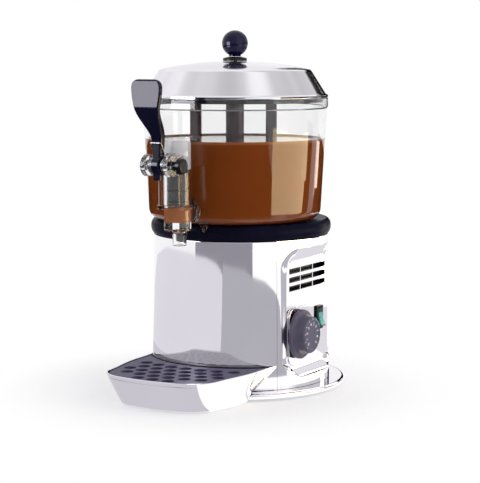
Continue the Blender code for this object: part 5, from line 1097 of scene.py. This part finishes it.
def make_lid():
    rim = BOWL_RIM_RADIUS + RIM_PROUD
    skirt_low = LID_LOW + 0.0028
    shoulder_z = skirt_low + 0.0285
    top = shoulder_z + 0.0095
    drop = 0.0076
    shoulder = BOWL_RIM_RADIUS - 0.0188
    crown = shoulder - 0.007
    bore = 0.0025
    sheet = 0.0016
    plug = BOWL_RIM_RADIUS - BOWL_WALL - 0.0006
    plug_low = LID_LOW - 0.005
    dome = [(bore + (crown - bore) * share, top - drop * share * share)
            for share in [index / 14.0 for index in range(15)]]
    outer = dome + eased([dome[-1], (shoulder + 0.0002, shoulder_z, 0.006),
                          (rim - 0.0026, skirt_low + 0.0012, 0.0014), (rim, skirt_low, 0.0010),
                          (rim, LID_LOW, 0.0006), (plug, LID_LOW)], 8)[1:-1]
    inner = [(plug, LID_LOW), (plug, plug_low), (plug - sheet, plug_low), (plug - sheet, skirt_low)]
    inner += eased([inner[-1], (shoulder - 0.0004, shoulder_z - sheet, 0.005),
                    (crown, top - drop - sheet)], 6)[1:-1]
    inner += [(radius, z - sheet) for radius, z in reversed(dome)]
    lid = piece("chrome_lid", spun(outer + inner, BOWL_AXIS, FINE), SATIN, "chrome", "lid", "lid")

    # Painted shade: the lid's underside and plug are black, so the bowl's clear rim shows a dark line where
    # shade falls under the lid; the skirt's low band gets the sharper chrome
    def skin(face):
        if face.center.z < LID_LOW + 0.0002:
            return 1
        return 2 if from_axis(face, BOWL_AXIS) > rim - 0.0022 and face.center.z < skirt_low + 0.0012 else 0

    repaint(lid, [BLACK, CHROME], skin)
    base_low = top + GAP
    base_high = base_low + 0.0048
    base = eased([(bore, base_low), (0.014, base_low, 0.0008), (0.0135, base_high - 0.0014, 0.0012),
                  (0.0085, base_high, 0.0020), (bore, base_high)], 5)
    piece("knob_foot", spun(base, BOWL_AXIS), BLACK, "black_plastic", "lid", "lid_knob_base")
    knob_low = base_high + GAP
    ball = 0.0148
    neck = 0.0068
    sink = math.sqrt(ball ** 2 - neck ** 2)
    centre = knob_low + 0.0018 + sink
    profile = [(0.0, knob_low), (neck, knob_low)]
    profile += arc((0.0, centre), ball, -math.asin(sink / ball), QUARTER, 48)[:-1] + [(0.0, centre + ball)]
    piece("ball_knob", spun(profile, BOWL_AXIS), KNOB, "navy_plastic", "lid", "lid_knob")
    under = top - sheet - GAP
    head_low = under - 0.0025
    stud = eased([(0.0, head_low), (0.006, head_low, 0.0006), (0.006, under, 0.0004), (0.0022, under),
                  (0.0022, knob_low - GAP), (0.0, knob_low - GAP)], 3)
    piece("knob_stud", spun(stud, BOWL_AXIS, SMALL), STEEL, "steel", "lid", "lid_stud")


# Drip tray

def on_arc(radius, angle, centre=0.0):
    """A point at an angle from the front, round a centre on the tray's middle line."""
    return Vector((radius * math.sin(angle), centre - radius * math.cos(angle)))


def tray_ring(lean, back_radius, inset, z):
    """Plan of the tray at a height: bowed front and sides, round corners, a back that fits the column."""
    front_half = TRAY_FRONT_HALF - 0.010 * lean
    bow_radius = (front_half ** 2 + TRAY_BULGE ** 2) / (2.0 * TRAY_BULGE)
    radius = bow_radius - inset
    swing = math.asin((front_half - inset) / radius)
    centre = -(TRAY_FRONT - 0.016 * lean) - TRAY_BULGE + bow_radius
    corner = on_arc(radius, swing, centre)
    bow = swing - TRAY_CORNER / bow_radius
    front = [on_arc(radius, -bow + 2.0 * bow * index / 32, centre) for index in range(33)]
    after = corner + TRAY_SIDE * TRAY_CORNER
    turn = [bent(front[-1], corner, after, index / 12.0) for index in range(1, 13)]
    along = corner.dot(TRAY_SIDE)
    hollow = back_radius + inset
    last = corner + TRAY_SIDE * (-along - math.sqrt(along * along - corner.length_squared + hollow ** 2))
    outward = Vector((TRAY_SIDE.y, -TRAY_SIDE.x))
    flank = [turn[-1].lerp(last, share) + outward * (TRAY_SIDE_BOW * math.sin(math.pi * share) ** 2)
             for share in [index / 8.0 for index in range(1, 8)]]
    end = math.atan2(last.x, -last.y)
    back = [on_arc(hollow, end - 2.0 * end * index / 48) for index in range(49)]
    points = mirrored(reversed(turn)) + front + turn + flank + back + mirrored(reversed(flank))
    return [(point.x, point.y + AXIS.y, z) for point in points]


def make_tray():
    heel = 0.010
    foot = BASE_RADIUS + 0.0005
    high = TRAY_HEIGHT
    seat = high - 0.0008 - GRID_THICKNESS - GAP
    lean = 1.0 - heel / high
    ledge = TRAY_WALL + 0.0025
    rows = [(1.0, foot, 0.0012, 0.0), (1.0, foot, 0.0004, 0.0003), (0.975, foot, 0.0, 0.0011),
            (lean, foot, 0.0, heel), (0.03, TRAY_BACK, 0.0, high - 0.0010),
            (0.0, TRAY_BACK, 0.0002, high - 0.0003), (0.0, TRAY_BACK, 0.0007, high),
            (0.0, TRAY_BACK, TRAY_WALL - 0.0006, high), (0.0, TRAY_BACK, TRAY_WALL - 0.0001, high - 0.0004),
            (0.0, TRAY_BACK, TRAY_WALL, seat), (0.0, TRAY_BACK, ledge, seat),
            (lean, foot, ledge, heel + 0.002), (1.0, foot, ledge + 0.0005, 0.0032),
            (1.0, foot, ledge + 0.0016, 0.0022)]
    skin = bridged([tray_ring(*row) for row in rows])
    tray = piece("chrome_tray", skin, CHROME, "chrome", "tray", "drip_tray")
    basin = Vector((0.0, AXIS.y - 0.15, 0.5 * seat))

    # Painted shade: the basin's inner faces and the rim's back edge next to the column are painted black
    # where shade falls
    def in_shade(face):
        at_back = from_axis(face, AXIS) < TRAY_BACK + TRAY_WALL + 0.0012
        inner = face.center.z < high - 0.0003 and (face.center - basin).dot(face.normal) < 0.0
        return int(inner or (at_back and face.center.z > seat))

    repaint(tray, [BLACK], in_shade)
    low = seat + GAP
    top = low + GRID_THICKNESS
    inset = TRAY_WALL + 0.0009
    rows = [(inset + 0.0004, low), (inset, low + 0.0004), (inset, top - 0.0008),
            (inset + 0.0003, top - 0.0002), (inset + 0.0009, top)]
    grid = bridged([tray_ring(0.0, TRAY_BACK, *row) for row in rows])
    margin = inset + 0.0035 + HOLE_RADIUS
    limit = [Vector(point[:2]) - AXIS for point in tray_ring(0.0, TRAY_BACK, margin, 0.0)]
    profile = [(0.0, low - 0.002), (HOLE_RADIUS, low - 0.002), (HOLE_RADIUS, top - 0.0008),
               (HOLE_RADIUS + 0.0003, top - 0.0002), (HOLE_RADIUS + 0.0007, top),
               (HOLE_RADIUS + 0.0011, top + 0.002), (0.0, top + 0.002)]
    cutters = bmesh.new()
    for x, y in grid_holes(limit):
        mesh = mesh_of("hole", spun(profile, (x, y + AXIS.y), 32))
        cutters.from_mesh(mesh)
        bpy.data.meshes.remove(mesh)
    piece("navy_grid", cut(grid, cutters), GRID, "navy_plastic", "grid", "drip_grid")


def grid_holes(limit):
    """Staggered rows of hole centres, bowed like the tray's front, inside an outline."""
    bow = (TRAY_FRONT_HALF ** 2 + TRAY_BULGE ** 2) / (2.0 * TRAY_BULGE)
    front = min(point.y for point in limit)
    depth = max(point.y for point in limit) - front
    places = []
    for row in range(int((depth + TRAY_BULGE) / HOLE_ROW) + 1):
        shift = 0.5 if row % 2 else 0.0
        for step in range(-14, 15):
            angle = (step + shift) * HOLE_PITCH / bow
            if abs(angle) > QUARTER:
                continue
            x = bow * math.sin(angle)
            y = front + row * HOLE_ROW + bow * (1.0 - math.cos(angle))
            if inside(limit, x, y + HOLE_RADIUS / 50.0):
                places.append((x, y))
    return places


def inside(outline, x, y):
    crossings = 0
    for first, second in zip(outline, outline[1:] + outline[:1]):
        if (first.y > y) != (second.y > y):
            share = (y - first.y) / (second.y - first.y)
            if first.x + share * (second.x - first.x) > x:
                crossings += 1
    return crossings % 2 == 1


# Studio

def heading(angle, distance):
    """A place on the floor, by its angle from the camera's direction and its distance from the column."""
    turn = CAMERA_AZIMUTH + math.radians(angle)
    return Vector((distance * math.sin(turn), AXIS.y - distance * math.cos(turn), 0.0))


def card(name, corners, tone, strength=1.0, one_sided=False, veil=0.0):
    """A studio card that only reflections see; a one-sided card is clear from below, a veil part clear."""
    bm = bmesh.new()
    bm.faces.new([bm.verts.new(corner) for corner in corners])
    mesh = mesh_of(name, bm)
    paint, tree = painted(name)
    glow = node(tree, "Emission")
    glow.inputs["Color"].default_value = (*tone, 1.0)
    glow.inputs["Strength"].default_value = strength
    light = glow.outputs["Emission"]
    if one_sided:
        back = node(tree, "NewGeometry").outputs["Backfacing"]
        clear = node(tree, "BsdfTransparent").outputs["BSDF"]
        show_mix(tree, maths(tree, "MAXIMUM", back, veil), light, clear)
    else:
        tree.links.new(light, tree.nodes["Material Output"].inputs["Surface"])
    mesh.materials.append(paint)
    item = placed(name, mesh)
    item.visible_camera = False
    item.visible_diffuse = False
    item.visible_transmission = False
    item.visible_shadow = False


def floor_card(name, layer, near, stops, tone):
    """A card on the floor round the column: its far edge runs through (angle, distance) stops."""
    edge = []
    for (start, first), (end, second) in zip(stops, stops[1:]):
        for share in [index / 8.0 for index in range(8)]:
            edge.append((start + (end - start) * share, first + (second - first) * share))
    edge.append(stops[-1])
    corners = [heading(angle, near) for angle, far in edge]
    corners += [heading(angle, far) for angle, far in reversed(edge)]
    height = Vector((0.0, 0.0, 0.0005 * layer))
    card(name, [corner + height for corner in corners], tone)


def flag_card(name, inner, outer, *notch):
    """A black flag held level at the collar, so that the bowl and the tap don't mirror the bright floor."""
    shares = [index / 24 for index in range(25)]
    near = [heading(inner[0] + (inner[1] - inner[0]) * share, FLAG_NEAR) for share in shares]
    far = [heading(outer[0] + (outer[1] - outer[0]) * share, FLAG_REACH) for share in shares]
    corners = far + [heading(*place) for place in notch] + near[::-1]
    height = Vector((0.0, 0.0, DECK_TOP - FLAG_DROP))
    card(name, [corner + height for corner in corners], (0.004, 0.004, 0.005), one_sided=True)


def standing_card(name, angle, distance, width, low, high, tone, strength):
    turn = CAMERA_AZIMUTH + math.radians(angle)
    place = heading(angle, distance)
    across = Vector((math.cos(turn), math.sin(turn), 0.0)) * width / 2.0
    low, high = Vector((0.0, 0.0, low)), Vector((0.0, 0.0, high))
    corners = [place - across + low, place + across + low, place + across + high, place - across + high]
    card(name, corners, tone, strength)


def make_studio():
    scene = bpy.context.scene
    scene.view_settings.view_transform = "Standard"
    bm = bmesh.new()
    bmesh.ops.create_grid(bm, x_segments=8, y_segments=8, size=8.0)
    ground = placed("floor", mesh_of("floor", bm))
    ground.data.materials.append(floor_paint())
    floor_card("dark_floor_card", 1, 1.20, [(-60, 4.0), (15, 4.0)], (0.30, 0.29, 0.33))
    floor_card("white_floor_card", 2, 0.12, [(-11, 0.3), (14, 0.3), (15, 4.0), (60, 4.0), (150, 4.0)],
               (1.15, 1.15, 1.15))
    floor_card("rim_floor_card", 3, 0.25, [(68, 3.0), (98, 3.0)], (0.52, 0.51, 0.55))
    floor_card("grey_floor_card", 4, 0.22, [(-23, 1.52), (4, 1.43), (14.6, 1.30), (30, 1.20), (40, 1.07),
                                            (46, 0.95), (48, 0.85)], (0.47, 0.46, 0.50))
    floor_card("pale_floor_card", 5, 0.12, [(-152, 0.8), (-140, 1.3), (-110, 1.58), (-70, 1.63), (-45, 1.60),
                                            (-32, 1.52), (-25, 1.40), (-23, 1.30)], (0.78, 0.76, 0.81))
    floor_card("tray_floor_card", 6, 0.12, [(-152, 0.30), (-60, 0.30), (-11, 0.26)], (0.64, 0.62, 0.67))
    floor_card("plate_floor_card", 7, 0.20, [(108, 0.62), (132, 0.62)], (0.80, 0.78, 0.82))
    card("grid_veil", tray_ring(0.0, TRAY_BACK, 0.004, TRAY_HEIGHT + 0.0015), (0.45, 0.44, 0.48),
         one_sided=True, veil=0.3)
    flag_card("left_flag", (-150.0, 23.0), (-150.0, 36.0), (42.0, 0.46))
    flag_card("middle_flag", (52.0, 59.0), (99.0, 112.0))
    flag_card("right_flag", (61.5, 178.0), (127.0, 178.0))
    standing_card("softbox_card", 68.0, 0.40, 0.40, 0.12, 0.252, (1.0, 0.81, 0.48), 6.3)
    standing_card("strip_card", 119.0, 0.40, 0.07, 0.07, 0.25, (1.0, 0.90, 0.75), 5.0)
    standing_card("lever_card", -60.0, 0.55, 0.30, 0.268, 0.50, (0.92, 0.90, 1.0), 10.0)
    make_world(scene)
    lamp = bpy.data.lights.new("softbox", "AREA")
    lamp.shape = "RECTANGLE"
    lamp.size = 1.3
    lamp.size_y = 1.2
    lamp.energy = 9.0
    box = placed("softbox", lamp)
    box.visible_glossy = False
    box.location = (1.32, 0.28, 0.75)
    aim = Vector((0.0, 0.0, 0.25))
    box.rotation_euler = (Vector(box.location) - aim).to_track_quat("Z", "Y").to_euler()


def make_world(scene):
    """White for the camera and, behind the machine, through glass; a soft grey room in every reflection."""
    world = bpy.data.worlds.new("studio")
    scene.world = world
    world.use_nodes = True
    tree = world.node_tree
    way = node(tree, "TexCoord").outputs["Generated"]
    behind = vector_maths(tree, "DOT_PRODUCT", way,
                          (-math.sin(CAMERA_AZIMUTH), math.cos(CAMERA_AZIMUTH), 0.0))
    wall = ramp(tree, behind, [(0.80, (0.05, 0.05, 0.055)), (0.92, (1.0, 1.0, 1.0))])
    path = node(tree, "LightPath").outputs
    through = maths(tree, "MAXIMUM", path["Is Camera Ray"], path["Is Transmission Ray"])
    seen = maths(tree, "MULTIPLY", through, maths(tree, "LESS_THAN", path["Diffuse Depth"], 0.5))
    choose = node(tree, "Mix", data_type="RGBA")
    tree.links.new(seen, choose.inputs[0])
    tree.links.new(room_tones(tree, way, behind), choose.inputs[6])
    tree.links.new(vector_maths(tree, "MAXIMUM", wall, path["Is Camera Ray"]), choose.inputs[7])
    tree.links.new(choose.outputs[2], tree.nodes["Background"].inputs["Color"])


def room_tones(tree, way, behind):
    """Tones round the room, by the angle from the camera's direction, softened by a little cloud."""
    aside = vector_maths(tree, "DOT_PRODUCT", way, (math.cos(CAMERA_AZIMUTH), math.sin(CAMERA_AZIMUTH), 0.0))
    angle = maths(tree, "ARCTAN2", aside, maths(tree, "MULTIPLY", behind, -1.0))
    share = mapped(tree, angle, (-math.pi, math.pi))
    stops = [(0.0, 0.92), (0.22, 0.92), (0.28, 0.70), (0.42, 0.62), (0.50, 0.64), (0.55, 0.72), (0.60, 1.05),
             (0.67, 1.10), (0.71, 0.72), (0.86, 0.62), (0.90, 0.85), (1.0, 0.95)]
    tones = ramp(tree, share, [(place, (tone, tone * 0.985, min(tone * 1.02, 1.1))) for place, tone in stops])
    soft = mapped(tree, cloud(tree, way, 2.2, 1.0), (0.35, 0.65), (0.86, 1.08))
    split = node(tree, "SeparateXYZ")
    tree.links.new(way, split.inputs["Vector"])
    rise = split.outputs["Z"]
    off, on = (0.0, 0.0, 0.0), (1.0, 1.0, 1.0)
    side = ramp(tree, share, [(0.0, off), (0.88, on), (0.985, off)], "CONSTANT")
    raised = maths(tree, "GREATER_THAN", rise, PATCH_LOW)
    far = maths(tree, "GREATER_THAN", share, PATCH_FAR)
    under = maths(tree, "LESS_THAN", rise, PATCH_TOP)
    patch = maths(tree, "MULTIPLY", under, maths(tree, "MAXIMUM", raised, far))
    dark = maths(tree, "MULTIPLY", side, patch)
    line = ramp(tree, share, [(0.0, off), (0.317, on), (0.533, off), (0.658, on), (0.972, off)], "CONSTANT")
    horizon = maths(tree, "MULTIPLY", line, maths(tree, "LESS_THAN", rise, HORIZON))
    light = maths(tree, "SUBTRACT", 1.0, maths(tree, "MAXIMUM", dark, horizon))
    room = node(tree, "VectorMath", operation="SCALE")
    tree.links.new(tones, room.inputs[0])
    tree.links.new(maths(tree, "MULTIPLY", soft, light), room.inputs["Scale"])
    return room.outputs["Vector"]


def floor_paint():
    """White floor: it keeps a soft shadow near the machine and fades to plain white further out."""
    paint, tree = painted("floor_white")
    shader = tree.nodes["Principled BSDF"]
    shader.inputs["Base Color"].default_value = (0.93, 0.93, 0.94, 1.0)
    shader.inputs["Roughness"].default_value = 0.9
    shader.inputs["Specular IOR Level"].default_value = 0.0
    glow = node(tree, "Emission")
    glow.inputs["Color"].default_value = (1.0, 1.0, 1.0, 1.0)
    reach = vector_maths(tree, "LENGTH", node(tree, "TexCoord").outputs["Object"])
    fade = mapped(tree, reach, (0.10, 0.28), (0.35, 1.0), "SMOOTHSTEP")
    show_mix(tree, fade, shader.outputs["BSDF"], glow.outputs["Emission"])
    return paint


def make_camera():
    camera = bpy.data.cameras.new("camera")
    camera.lens = 119.25
    camera.sensor_width = 36.0
    camera.shift_x = -1.0 / 483.0
    eye = placed("camera", camera)
    eye.location = heading(0.0, CAMERA_DISTANCE) + Vector((0.0, 0.0, CAMERA_HEIGHT))
    eye.rotation_euler = (QUARTER - CAMERA_PITCH, 0.0, CAMERA_AZIMUTH)
    bpy.context.scene.camera = eye


dress_frame()
make_base()
make_front_cover()
make_rear_housing()
make_control_panel()
make_dial()
make_switch()
make_collar()
make_bowl()
make_drink()
make_mixer()
make_tap()
make_pin()
make_lever()
make_spring()
make_piston()
make_lid()
make_tray()
make_studio()
make_camera()
